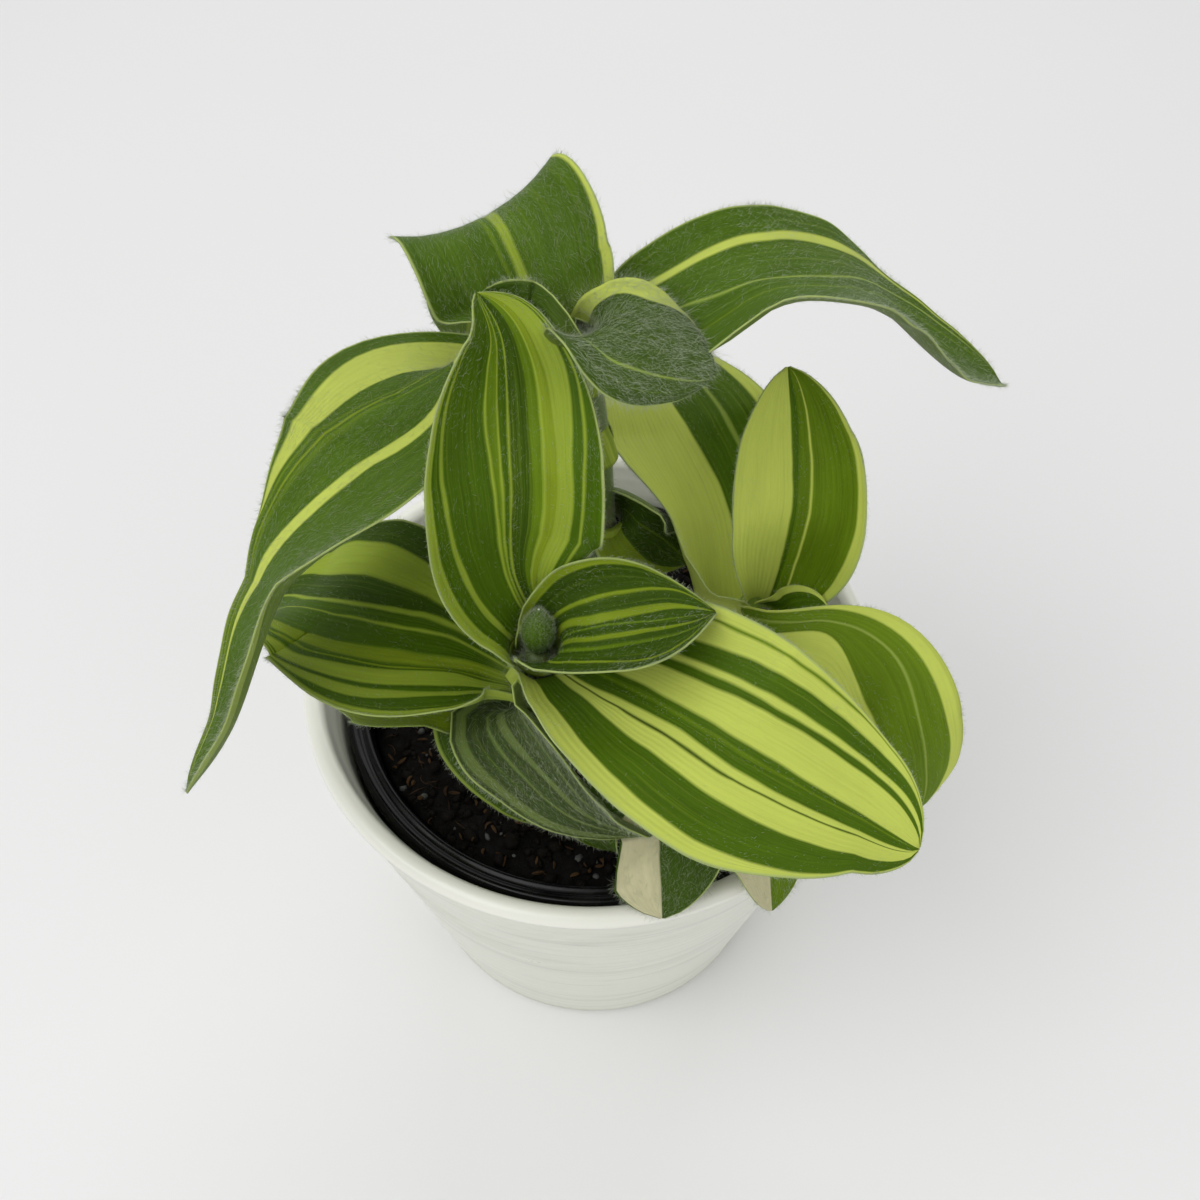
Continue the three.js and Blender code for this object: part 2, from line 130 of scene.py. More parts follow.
leaf(
    "arching_left", "tall", 148, 190, 34, [60, 30, 20, 25, 30, 30], (3.5, 1.9, 0.18),
    [[-9.5, 14.5, 154.5, -4], [-30, 12, 160.5, -12], [-36, -8.5, 162, -25], [-50, -31, 153, 21], [-58,
    -48.5, 140, 23], [-65, -56.5, 133, 25]],
)
leaf(
    "low_back", "tall", 127, 15, 24, [60, 40, 30], (3.5, 1.5, 0.1),
    [[9, 3, 131, 0], [15, 5, 125, 0], [20, 6, 116, 0]],
)
leaf(
    "front_young", "front", 135, 0, 26, [90, 70, 60, 60], (5.0, 1.0, 0.06),
    [[-4, -31.5, 141, 0], [1.5, -33, 145.5, 8], [12.5, -31, 145, 5], [21, -28.5, 144, -9]],
    ring=3.8, height=3, wrap=172, blend=0.3, taper=1.5, point=0.8, plus=[1, 1, 1.25, 1.08, 1, 1, 1, 1, 1, 1,
    1],
)
leaf(
    "front_upright", "front", 130.5, 100, 33, [80, 60, 50, 50, 50], (3.0, 1.1, 0.0),
    [[-9, -26, 136.5, 3], [-12.5, -23.5, 149.5, -1], [-12.5, -17.5, 166.5, -6], [-14.5, -1, 180, 25], [-18,
    4, 185, 31]],
    plus=[1, 0.5, 0.55, 0.8, 1, 1, 1, 1, 1, 1, 1],
)
leaf(
    "front_large", "front", 126.5, -20, 42, [60, 30, 20, 25, 40], (2.0, 0.7, 0.0),
    [[-6, -30, 132, -13], [13.5, -43.5, 135.5, -4], [24.5, -51, 135.5, 2], [44.5, -58, 128.5, -11], [54,
    -62, 124, 2]],
    wrap=80, blend=0.2, plus=[1, 1.3, 1.12, 1.05, 1, 1, 1, 1, 1, 1, 1],
)
leaf(
    "front_left", "front", 121, 190, 40.5, [60, 30, 20, 25, 40], (2.2, 0.9, 0.0),
    [[-18.5, -28.5, 124.5, 5], [-33.5, -24.5, 130, -10], [-44.5, -14, 129, -15], [-54.5, -10, 123.5, 0],
    [-65, -8.5, 115, -8]],
    wrap=110,
)
leaf(
    "front_low", "front", 114, -60, 30, [60, 40, 30, 30], (5.0, 1.8, 0.22),
    [[-14, -33, 121, -19], [-8, -40.5, 115, -13], [-1, -45, 108.5, -9], [11, -48, 103, 6]],
)
leaf(
    "left_low", "front", 109, 200, 26, [60, 40, 30, 30], (2.0, 1.2, 0.0),
    [[-23, -22.5, 113.5, -4], [-31.5, -23, 113, 1], [-41.5, -19, 108, -3], [-49.5, -18.5, 104, -1]],
)
leaf(
    "front_lowest", "front", 102, -75, 27.5, [60, 40, 30, 30], (3.0, 1.2, 0.1),
    [[-17, -28, 112.5, -22], [-11, -38.5, 104, 1], [-2, -42, 97.5, 8], [4.5, -44.5, 90.5, 4]],
)
leaf(
    "right_young", "right", 117, -15, 12, [90, 70, 60], (3.0, 0.8, 0.0),
    [[37.5, -12.6, 122.2, 0], [40, -13.6, 125, 0], [43.2, -14.2, 127, 0]],
    ring=3.3, height=3, wrap=172, blend=0.35,
)
leaf(
    "right_upright", "right", 113, 70, 27.5, [80, 50, 40, 40], (2.2, 0.8, 0.0),
    [[36.5, -3.5, 126.5, 5], [38.5, -1, 139, 1], [37, 8, 149.5, 3], [35, 14.5, 159.5, 10]],
)
leaf(
    "right_drooping", "right", 109, -30, 28, [40, -20, -30, -30], (2.4, 0.9, 0.05),
    [[35, -20, 118, 51], [50.5, -25, 117.5, 47], [57, -33, 111, 43], [62.5, -37, 93.5, 35]],
)
leaf(
    "right_back", "right", 104, 150, 36.5, [60, 30, 20, 20], (2.0, 1.0, 0.0),
    [[23, -6.5, 113.5, 9], [23.5, 8.5, 126, -7], [19, 26, 132.5, -31], [7.5, 54, 134.5, -6]],
)
leaf(
    "rim_left", "low", 90, -80, 29, [60, 30, 20, 20], (5.0, 2.4, 0.05),
    [[12.5, -41, 101.5, -2], [12.5, -49.5, 100, -5], [13, -60, 94, 5]],
)
leaf(
    "rim_right", "low", 85.5, -40, 19.5, [60, 30, 20, 20], (5.0, 2.0, 0.05),
    [[25, -39, 102, 0], [32, -48, 97, 3], [33.5, -56, 89, -8]],
)

# Light and dark bands of the variegated leaves, as 8-bit values
TONES = {
    "dark": (70, 99, 6),
    "deep": (54, 79, 3),
    "green": (97, 124, 16),
    "olive": (128, 148, 32),
    "dusk": (50, 64, 24),
    "ash": (100, 116, 60),
    "moss": (148, 168, 54),
    "lime": (195, 208, 94),
    "soft": (142, 162, 70),
    "pale": (172, 188, 112),
    "cream": (208, 202, 164),
}

# Each leaf's bands from one margin (-100) to the other (100), with their tones. A band's far edge is given as
# points, percent of the leaf's length:place across, or as +width, or as ~start end width for a short streak.
# The last band ends at the margin.
BANDS = {
    "front_large": """
    pale +2;
    lime 0:-90 30:-87 50:-90 80:-96.5 100:-97;
    green ~36 80 2.5;
    lime 0:-60 30:-65 40:-68 50:-73 70:-77 80:-80 90:-86 100:-95;
    dark 0:-46 40:-51.5 50:-54 60:-56 80:-60 90:-66.5 100:-80;
    lime 0:-41 40:-45 50:-48 70:-50 80:-53 90:-57.5 100:-65;
    dark 0:-30 40:-36.5 50:-40 70:-43 80:-44 90:-48 100:-50;
    lime 0:-10 30:-12.5 50:-11 60:-9 70:-5.5 80:-1.5 90:2 100:6;
    dark 0:-3 30:-5.5 50:-4 60:-2 70:2 80:6 100:12;
    green +2;
    dark 0:12 20:13 30:8.5 40:7.5 50:10 60:14.5 70:19.5 80:25 100:33;
    lime 0:18 27:17 40:16.5 50:19 61:23 80:33 100:40;
    deep ~27 61 2.2;
    lime 0:30 20:27 30:33.5 40:37.5 50:41 60:46 70:53.5 80:62 90:71 100:76;
    dark 0:60 20:63.5 30:73.5 40:78 50:82 60:86 70:92 80:96.5 100:97;
    lime 0:97 60:97.5 80:98 100:98.5;
    pale""",
    "front_upright": """
    pale +3;
    moss 0:-80 20:-80 30:-82 40:-85 50:-89 60:-93 75:-95.5 100:-96;
    dark 0:-55 20:-58 30:-60 40:-68 50:-74.5 60:-82 70:-88.5 80:-91 100:-93;
    moss 0:-45 20:-50 30:-53 40:-62 50:-70 60:-78 70:-85 80:-86 100:-88;
    dark 0:-12 30:-12 40:-15.5 50:-18 60:-22.5 70:-31.5 80:-31.5 90:-20 100:-15;
    moss +2.5;
    green 0:-8.5 30:-7.5 50:-10 60:-12 70:-15 80:-15 90:-7 100:-5;
    moss +1.8;
    dark 0:-3.5 30:-3 50:-2 70:-2 80:0 90:5 100:6;
    moss +1.8;
    deep 0:14 30:15 50:20 70:22 100:30;
    green 0:20 30:24 40:28 50:31 60:33 70:35 80:40 100:45;
    moss +3;
    olive 0:30 30:36 50:46 70:50 80:55 100:60;
    moss 0:55 40:59.5 50:63.5 60:65 70:73.5 80:83.5 90:90 100:91;
    dark 0:68 40:70 50:73 60:78.5 70:84.5 80:92 100:94;
    moss +3;
    dark 0:96 100:97.5;
    pale""",
    "front_left": """
    pale +2;
    moss 0:-83 20:-83 30:-87 40:-95 45:-97.5 100:-97.5;
    dark 0:-35 15:-38 20:-48 25:-52 30:-60 35:-72 40:-85 45:-94 50:-96.5 100:-97;
    moss 0:-25 15:-30 20:-38 25:-45 30:-50 35:-58 40:-72 45:-85 50:-93 60:-94 70:-96 100:-96;
    dark 0:-17 15:-22 20:-28 25:-33 30:-40 35:-50 40:-64 45:-81 50:-90 60:-92 70:-95 100:-95;
    moss 0:-5 15:-8 20:-6 25:-13 30:-20 35:-28 40:-43 45:-62 50:-78 60:-80 65:-83 70:-87 100:-88;
    dark 0:0 15:-2 20:-3 30:-17 40:-37 45:-53 50:-68 60:-72 70:-80 100:-82;
    olive ~50 72 3;
    dark 0:2 15:3 20:0 25:-7 30:-15 35:-20 40:-32 45:-48 50:-60 60:-66 70:-75 80:-70 100:-65;
    olive 0:20 15:17 20:12 25:6 30:0 35:-5 40:-15 45:-30 50:-43 55:-50 60:-53 70:-61 80:-58 100:-50;
    dark 0:30 20:29 25:27.5 30:22.5 35:17.5 40:10.5 45:3.5 50:-6.5 55:-18 58:-22 70:-25 100:-10;
    moss ~5 60 3;
    dark 0:40 20:39 30:35 35:32 40:28 45:21 50:11 55:0 60:-7 65:-10 70:-9 75:-4 80:5 85:19 90:38 100:60;
    moss +5.5;
    deep 0:52 30:50 40:50 45:47 50:42 55:36 60:30 65:30 70:33 75:40 80:55 85:70 90:80 100:87;
    moss 0:70 50:72 60:70 65:72 70:83 75:90 80:96 100:96.5;
    deep 0:97.5 100:98;
    pale""",
    "arching_left": """
    pale +2;
    soft 0:-97 74:-97 78:-85 90:-80 100:-80;
    dark 0:-90 30:-85 44:-62 46:-42 50:-12 55:3 60:20 65:43 70:68 74:83 80:90 100:93;
    lime 0:-80 30:-75 43:-50 44.5:-36 47:-12 50:3 55:18 60:37 65:61 69:81 73:91.5 80:95 100:95.5;
    dark 0:-78 25:-73 35:-55 36:-40 37.5:-12 40:17 43:34 50:50 55:64 60:75 65:87 70:94 100:96;
    green +4;
    dark 0:-75 20:-69 26:-60 30:-42 33:-34 36:-15 40:28 45:47.5 50:57 55:70 60:80 65:90 100:96.2;
    olive +2.2;
    dark +5;
    green +3;
    dark 0:-70 20:-60 26:-35 30:0 33:15 36:38 40:54 45:66 50:71 55:83 60:92 65:96.5 100:97;
    lime 0:50 20:80 30:79 35:81 40:87 45:90 50:90.5 55:95 60:97.5 100:98;
    dark 0:97 50:98 100:98.5;
    pale""",
    "back_left": """
    pale +3;
    dark 0:-30 20:-20 30:-19 40:-16 100:-20;
    green +2.5;
    dark 0:-20 22:-12.5 30:-11 36:-9 42:-7 100:-5;
    moss 0:-10 22:-5 30:-3 35:0 42:6 100:10;
    dark 0:70 14:80 17:86 20:89 25:90 30:94 35:95 42:97.5 100:98;
    lime 0:99 100:99.5;
    pale""",
    "arching_right": """
    pale +2;
    dark 0:-60 18:-54 25:-60 30:-64 40:-68 50:-70 55:-75 60:-83 65:-92 70:-96 100:-96.5;
    lime 0:-50 18:-45 25:-49 30:-53 40:-56.5 50:-57.5 55:-62.5 60:-72.5 65:-83 70:-92 100:-95;
    dark 0:7 20:6 30:1.5 40:-1 45:-3.5 50:-9 55:-21 60:-37.5 65:-54 70:-67.5 75:-77.5 80:-82 100:-85;
    soft +2.5;
    dark 0:25 30:24 45:20 55:2 65:-33 75:-60 100:-68;
    green +3;
    dark 0:96.5 100:97;
    pale""",
    "young_right": """
    lime 0:-60 12:-60 20:-72 30:-70 40:-66 50:-74 60:-88 70:-95 100:-97;
    deep 0:50 40:56 50:54 70:48 90:45 100:45;
    soft ~38 102 3.5;
    deep 0:97 100:97.5;
    pale""",
    "young_left": """
    pale +5;
    deep 0:94 100:94;
    pale""",
    "low_back": """
    pale +3;
    deep 0:-12 30:0 50:8 65:12 100:15;
    green +3;
    deep 0:28 10:30 25:36 40:45 60:60 100:75;
    olive 0:90 100:95;
    pale""",
    "front_young": """
    pale +4;
    olive 0:-82 30:-85 50:-90 70:-94 100:-95;
    deep 0:-50 25:-45 35:-42 45:-45 55:-51 65:-60 75:-70 85:-84 100:-92;
    olive +6;
    deep 0:-28 25:-25 30:-20 40:-18 50:-21 60:-26 70:-33 80:-40 100:-43;
    olive 0:-16 25:-13 30:-8 40:-6 50:-9 60:-13 70:-20 80:-27 100:-30;
    deep 0:-4 100:-4;
    green +1.5;
    deep 0:2 25:5 30:8 40:10 60:10 70:10 80:14 90:22 100:27;
    olive +7.5;
    deep 0:20 25:21 35:26.5 55:27.5 60:30 70:32 80:39 90:57 100:65;
    green +6;
    deep 0:44 30:47 40:53 50:65 55:71 60:76 65:77 100:78;
    olive +6;
    deep 0:90 30:90 60:93 100:94;
    pale""",
    "front_low": """
    pale +3;
    dusk 0:-30 50:-28 100:-10;
    ash +5;
    dusk 0:10 30:13.5 50:10 60:7 70:10 80:20 90:40 100:50;
    ash 0:27 30:28.5 40:26 50:20 60:16 70:20 80:31 90:50 100:60;
    dusk 0:40 30:42 50:42 70:44 100:65;
    ash +4;
    dusk 0:75 30:78 50:79 70:77 100:80;
    ash 0:90 30:92 60:92 100:92;
    dusk 0:96 100:96;
    pale""",
    "left_low": """
    soft +5;
    olive 0:-50 100:-50;
    deep 0:95 100:95;
    pale""",
    "front_lowest": """
    pale +3;
    deep 0:10 100:10;
    green +5;
    deep 0:70 100:70;
    green +5;
    deep 0:95 100:95;
    soft""",
    "right_young": """
    lime +22;
    dark 0:78 100:78;
    lime""",
    "right_upright": """
    pale +2;
    lime 0:-7 20:-8 30:-9 40:-13.5 50:-15 60:-13.5 70:-10 80:-7 100:-6;
    dark 0:-2 30:-2 40:-6 50:-7 60:-4 70:2 80:7 100:10;
    green 0:20 17:17.5 25:12.5 35:9 45:7.5 55:10 65:15 75:20 85:25 100:34;
    lime +3;
    green 0:82 25:83.5 35:80 45:79.5 55:84.5 65:87.5 75:91 100:94;
    lime 0:97 100:98;
    pale""",
    "right_drooping": """
    lime 0:-97 35:-97 40:-93 45:-88 50:-81.5 55:-78 60:-75 70:-73 80:-74 100:-78;
    green 0:-85 35:-80 45:-70 50:-60 60:-42 70:-34 80:-30 100:-35;
    soft +3;
    green 0:-60 25:-58 35:-62 38:-56 40:-46 42:-34 45:-14 48:3.5 50:10 53:16 57:20 70:25 100:30;
    lime 0:60 50:75 100:85;
    green 0:96 100:96;
    pale""",
    "right_back": """
    pale +2;
    lime 0:70 10:65 20:45 30:27 37:20 45:13 50:8 60:0 70:-6 80:-10 100:-10;
    dark 0:78 10:75 30:55 50:48 60:43 70:42 100:40;
    soft +4.5;
    dark 0:85 30:84 60:84 70:86 80:89 100:92;
    lime 0:97 100:98;
    pale""",
    "rim_left": """
    pale +2;
    deep 0:0 100:0;
    cream 0:20 50:35 60:65 66:85 75:92 100:97;
    deep""",
    "rim_right": """
    pale +2;
    green 0:-2 100:-2;
    cream 0:97 100:98;
    pale""",
}

# Which blades lie under each blade
UNDER = {
    "young_right": "back_left arching_right",
    "front_upright": "young_left back_left front_large front_left arching_left",
    "back_left": "arching_right arching_left",
    "arching_right": "arching_left",
    "arching_left": "front_left",
    "front_young": "front_upright front_large",
    "front_large": "front_left front_low right_drooping rim_left rim_right",
    "front_left": "front_low left_low front_lowest",
    "front_low": "left_low front_lowest rim_left",
    "left_low": "front_lowest",
    "front_lowest": "rim_left",
    "right_young": "right_upright right_drooping",
    "right_upright": "right_drooping right_back",
    "right_drooping": "right_back",
    "right_back": "low_back",
    "rim_left": "rim_right",
}

# Blades with an underside as dark as their upper side
DARK_BELOW = ("young_left",)


# Curves and frames

def unit(v):
    return v / np.maximum(np.linalg.norm(v, axis=-1, keepdims=True), 1e-9)


def smooth(low, high, x):
    s = np.clip((np.asarray(x, float) - low) / (high - low), 0, 1)
    return s * s * (3 - 2 * s)


def circle(count):
    return np.linspace(0, TURN, count, endpoint=False)


def polar(radius, angle, height):
    return np.stack(np.broadcast_arrays(radius * np.cos(angle), radius * np.sin(angle), height), -1)


def bump_at(x, centre, spread):
    """A rounded bump of height 1."""
    return np.exp(-(((x - centre) / spread) ** 2))


def curve(points, count):
    """A centripetal Catmull-Rom curve through the points."""
    p = np.asarray(points, float)
    s = np.linspace(0, len(p) - 1, count)
    i = np.minimum(s.astype(int), len(p) - 2)
    w = (s - i)[:, None]
    ends = np.vstack([2 * p[0] - p[1], p, 2 * p[-1] - p[-2]])
    p0, p1, p2, p3 = ends[i], ends[i + 1], ends[i + 2], ends[i + 3]
    gap = lambda a, b: np.sum((a - b) ** 2, 1)[:, None] ** 0.25
    d0, d1, d2 = gap(p0, p1), gap(p1, p2), gap(p2, p3)
    t1 = ((p1 - p0) / d0 - (p2 - p0) / (d0 + d1) + (p2 - p1) / d1) * d1
    t2 = ((p2 - p1) / d1 - (p3 - p1) / (d1 + d2) + (p3 - p2) / d2) * d1
    return p1 + t1 * w + (-3 * p1 + 3 * p2 - 2 * t1 - t2) * w**2 + (2 * p1 - 2 * p2 + t1 + t2) * w**3


def lengths(points):
    return np.concatenate([[0], np.cumsum(np.linalg.norm(np.diff(points, axis=0), axis=1))])


def table_at(x, xs, table):
    return np.stack([np.interp(x, xs, table[:, k]) for k in range(3)], -1)


def even(points, count):
    run = lengths(points)
    return table_at(np.linspace(0, run[-1], count), run, points)


def stem_line(name):
    return even(curve(STEMS[name], 300), 90)


def stem_at(name, height):
    c = curve(STEMS[name], 400)
    k = min(max(int(np.searchsorted(c[:, 2], height)) - 1, 0), len(c) - 2)
    step = c[k + 1] - c[k]
    return c[k] + step * (height - c[k, 2]) / step[2], unit(step)


def spokes(axis, turn):
    """Directions at right angles to an axis, turned about it."""
    u = unit(np.cross(axis, [0.3, 1, 0.1]))
    return u * np.cos(turn)[:, None] + np.cross(axis, u) * np.sin(turn)[:, None]


class Leaf:
    """The surface of one leaf blade: place(t, v) for t along it and v across it."""

    def __init__(self, name):
        self.name, self.leaf = name, LEAVES[name]
        leaf = self.leaf
        sheath = self.sheath = {k: leaf.get(k, SHEATH[k]) for k in SHEATH}
        centre, rise = stem_at(leaf["stem"], leaf["node"])
        angle = math.radians(leaf["facing"])
        out = np.array([math.cos(angle), math.sin(angle), 0])
        out = unit(out - rise * (out @ rise))
        foot = centre + out * sheath["ring"]
        top = foot + rise * sheath["height"] + out * SHEATH_STEP
        path = np.array([foot, top] + [q[:3] for q in leaf["path"]])
        rolls = np.radians([0, 0] + [q[3] for q in leaf["path"]])
        fine = curve(path, 100 * (len(path) - 1) + 1)
        run = lengths(fine)
        self.length = run[-1]
        self.p = even(fine, STATIONS)
        ahead = unit(np.gradient(self.p, axis=0))
        normal = np.zeros_like(ahead)
        n = -out
        for i in range(STATIONS):
            n = unit(n - ahead[i] * (n @ ahead[i]))
            normal[i] = n
        self.t = np.linspace(0, 1, STATIONS)
        roll = np.interp(self.t, run[::100] / run[-1], rolls)[:, None]
        self.n = normal * np.cos(roll) + np.cross(ahead, normal) * np.sin(roll)
        self.s = np.cross(ahead, self.n)
        self.cups = [sheath["wrap"]] + leaf["cup"]
        self.shift = np.zeros((SHIFT_ROWS, SHIFT_COLUMNS, 3))

    def half(self, t):
        """Half the blade's width, which starts as the sheath's."""
        leaf, sheath = self.leaf, self.sheath
        rise = np.sin(math.pi / 2 * np.minimum(t / WIDEST, 1)) ** 1.15
        past = np.maximum((t - WIDEST) / (1 - WIDEST), 0)
        fall = np.maximum(1 - past ** leaf.get("taper", TAPER), 0) ** leaf.get("point", POINT)
        blade = leaf["width"] / 2 * np.where(t < WIDEST, NECK + (1 - NECK) * rise, fall)
        share = smooth(0, sheath["blend"], t)
        return np.maximum(sheath["ring"] * math.radians(sheath["wrap"]) * (1 - share) + blade * share, 0.5)

    def place(self, t, v):
        t, v = np.broadcast_arrays(np.asarray(t, float), np.asarray(v, float))
        cup = np.radians(self.spread(self.cups, t))
        cup = np.where(np.abs(cup) < 1e-3, 1e-3, cup)
        bend = cup * np.abs(v)
        reach = self.half(t) * np.where(v < 0, self.side("minus", t), self.side("plus", t))
        across = (reach * np.sin(bend) / cup * np.sign(v))[..., None]
        lift = (reach * (1 - np.cos(bend)) / cup)[..., None]
        middle, side, normal = (table_at(t, self.t, table) for table in (self.p, self.s, self.n))
        return middle + side * across + normal * lift + self.moved(t, v)

    def spread(self, table, t):
        return np.interp(t, np.linspace(0, 1, len(table)), table)

    def side(self, name, t):
        return self.spread(self.leaf.get(name, [1, 1]), t)

    def moved(self, t, v):
        """How far the blade is moved at a place to lie under the blades above it."""
        x = np.clip(t, 0, 1) * (SHIFT_ROWS - 1)
        y = (np.clip(v, -1, 1) + 1) / 2 * (SHIFT_COLUMNS - 1)
        i = np.minimum(x.astype(int), SHIFT_ROWS - 2)
        j = np.minimum(y.astype(int), SHIFT_COLUMNS - 2)
        a, b = (x - i)[..., None], (y - j)[..., None]
        s = self.shift
        return (s[i, j] * (1 - a) + s[i + 1, j] * a) * (1 - b) + (s[i, j + 1] * (1 - a) + s[i + 1, j + 1] * a) * b

    def normals(self, t, v):
        """The blade's normal and its directions along and across."""
        d = 0.004
        a = self.place(np.minimum(t + d, 1), v) - self.place(np.maximum(t - d, 0), v)
        b = self.place(t, v + d * 4) - self.place(t, v - d * 4)
        return unit(np.cross(b, a)), unit(a), unit(b)

    def grid(self):
        return self.place(np.linspace(0, 1, SHIFT_ROWS)[:, None], np.linspace(-1, 1, SHIFT_COLUMNS)[None, :])


def soften(field, times):
    """Evens out a field over the rows and columns of a blade."""
    for _ in range(times):
        padded = np.pad(field, ((1, 1), (1, 1), (0, 0)), mode="edge")
        field = (padded[:-2, 1:-1] + padded[2:, 1:-1] + padded[1:-1, :-2] + padded[1:-1, 2:] + 4 * field) / 8
    return field


def quads_of(index):
    """Quads between the neighbours in a grid of point numbers."""
    return np.stack([index[:-1, :-1], index[:-1, 1:], index[1:, 1:], index[1:, :-1]], -1).reshape(-1, 4)


def lay_under(above, below, gap=0.95, reach=9.0, deepest=8.5, aside_full=0.4, aside_none=3.0):
    """Moves the parts of one blade that come through another one to its underside."""
    index = np.arange(SHIFT_ROWS * SHIFT_COLUMNS).reshape(SHIFT_ROWS, SHIFT_COLUMNS)
    tree = BVHTree.FromPolygons(above.grid().reshape(-1, 3).tolist(), quads_of(index).tolist())
    for turn in range(4):
        here = below.grid()
        push = np.zeros_like(here)
        for i in range(2, SHIFT_ROWS):
            for j in range(SHIFT_COLUMNS):
                found, normal = tree.find_nearest(Vector(here[i, j]), reach)[:2]
                if found is None:
                    continue
                away, normal = here[i, j] - np.array(found), np.array(normal)
                height = away @ normal
                aside = math.sqrt(max(away @ away - height * height, 0))
                if -gap < height < deepest and aside < aside_none:
                    push[i, j] = -normal * (height + gap) * (1 - float(smooth(aside_full, aside_none, aside)))
        if not push.any():
            break
        below.shift = below.shift + (soften(push, 6 - turn) * 1.25 if turn < 3 else push)


# Mesh helpers

def linear(rgb):
    c = np.asarray(rgb, float) / 255
    return np.where(c <= 0.04045, c / 12.92, ((c + 0.055) / 1.055) ** 2.4)


def new_object(name, points, faces, material, shade=True):
    """A mesh from points in millimetres and arrays of faces, one array for each number of corners."""
    mesh = bpy.data.meshes.new(name)
    corners = np.concatenate([block.ravel() for block in faces]).astype(np.int32)
    totals = np.concatenate([np.full(len(block), block.shape[1]) for block in faces]).astype(np.int32)
    mesh.vertices.add(len(points))
    mesh.vertices.foreach_set("co", (np.asarray(points, np.float32) * MM).ravel())
    mesh.loops.add(len(corners))
    mesh.loops.foreach_set("vertex_index", corners)
    mesh.polygons.add(len(totals))
    mesh.polygons.foreach_set("loop_start", (np.cumsum(totals) - totals).astype(np.int32))
    mesh.polygons.foreach_set("loop_total", totals)
    mesh.update(calc_edges=True)
    mesh.validate()
    mesh.materials.append(material)
    if shade:
        mesh.shade_smooth()
    else:
        mesh.shade_flat()
    made = bpy.data.objects.new(name, mesh)
    bpy.context.scene.collection.objects.link(made)
    return made


def paint(obj, colours, uv):
    """The tone and the grain's direction at each point."""
    layer = obj.data.color_attributes.new("tone", "FLOAT_COLOR", "POINT")
    layer.data.foreach_set("color", np.asarray(colours, np.float32).ravel())
    layer = obj.data.uv_layers.new(name="grain")
    index = np.zeros(len(obj.data.loops), np.int32)
    obj.data.loops.foreach_get("vertex_index", index)
    layer.data.foreach_set("uv", np.asarray(uv, np.float32)[index].ravel())


def belongs(obj, slot, *nodes):
    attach(obj, "root")
    if nodes:
        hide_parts(*nodes)


def rings(rows, sides):
    """Quads between rings of points."""
    index = np.arange(rows * sides).reshape(rows, sides)
    return quads_of(np.concatenate([index, index[:, :1]], 1))


def closed_rings(rows, sides):
    """Quads between rings of points, and fans to the two middle points that follow the rings."""
    here = np.arange(sides)
    after = np.roll(here, -1)
    first, last, top = rows * sides, rows * sides + 1, (rows - 1) * sides
    low = np.stack([np.full(sides, first), after, here], -1)
    high = np.stack([np.full(sides, last), top + here, top + after], -1)
    return [rings(rows, sides), np.concatenate([low, high])]


def tube(points, radii, sides):
    points = np.asarray(points, float)
    ahead = unit(np.gradient(points, axis=0))
    u = unit(np.cross(ahead[0], [0.3, 1, 0.1]))
    angle = circle(sides)[:, None]
    circles = []
    for p, a, r in zip(points, ahead, radii):
        u = unit(u - a * (u @ a))
        circles.append(p + (u * np.cos(angle) + np.cross(a, u) * np.sin(angle)) * r)
    return np.concatenate(circles + [points[:1], points[-1:]]), closed_rings(len(points), sides)


def spikes(stops, width):
    """Three-sided hairs through the stops, closed at the root, thinner at a bend and pointed at the tip."""
    axis = unit(stops[-1] - stops[0])
    helper = np.where(np.abs(axis[:, 2:3]) < 0.9, [[0, 0, 1.0]], [[1.0, 0, 0]])
    u = unit(np.cross(axis, helper))
    w = np.cross(axis, u)
    corners, faces = [], [(0, 2, 1)]
    last = 3 * (len(stops) - 1)
    for stop, share in zip(stops[:-1], (1.0, 0.7)):
        for k in range(3):
            a, b = len(corners), len(corners) - k + (k + 1) % 3
            faces += [(a, b, b + 3), (a, b + 3, a + 3)] if a < last - 3 else [(a, b, last)]
            angle = TURN * k / 3
            corners.append(stop + (u * math.cos(angle) + w * math.sin(angle)) * width[:, None] * share)
    points = np.stack(corners + [stops[-1]], 1)
    start = np.arange(len(axis))[:, None] * (last + 1)
    return points.reshape(-1, 3), np.concatenate([start + np.array([face]) for face in faces])


def bent(root, direction, size, spread, width, rng):
    """Hairs with a bend at the middle."""
    tip = root + direction * size
    middle = (root + tip) / 2 + rng.normal(0, spread, root.shape) * size
    return spikes([root, middle, tip], rng.uniform(*width, len(root)))


def grow(name, slot, hairs, material):
    points, tris = hairs
    belongs(new_object(name, points, [tris], material), slot)


# Materials

def rgb(*values):
    return (*linear(values), 1)


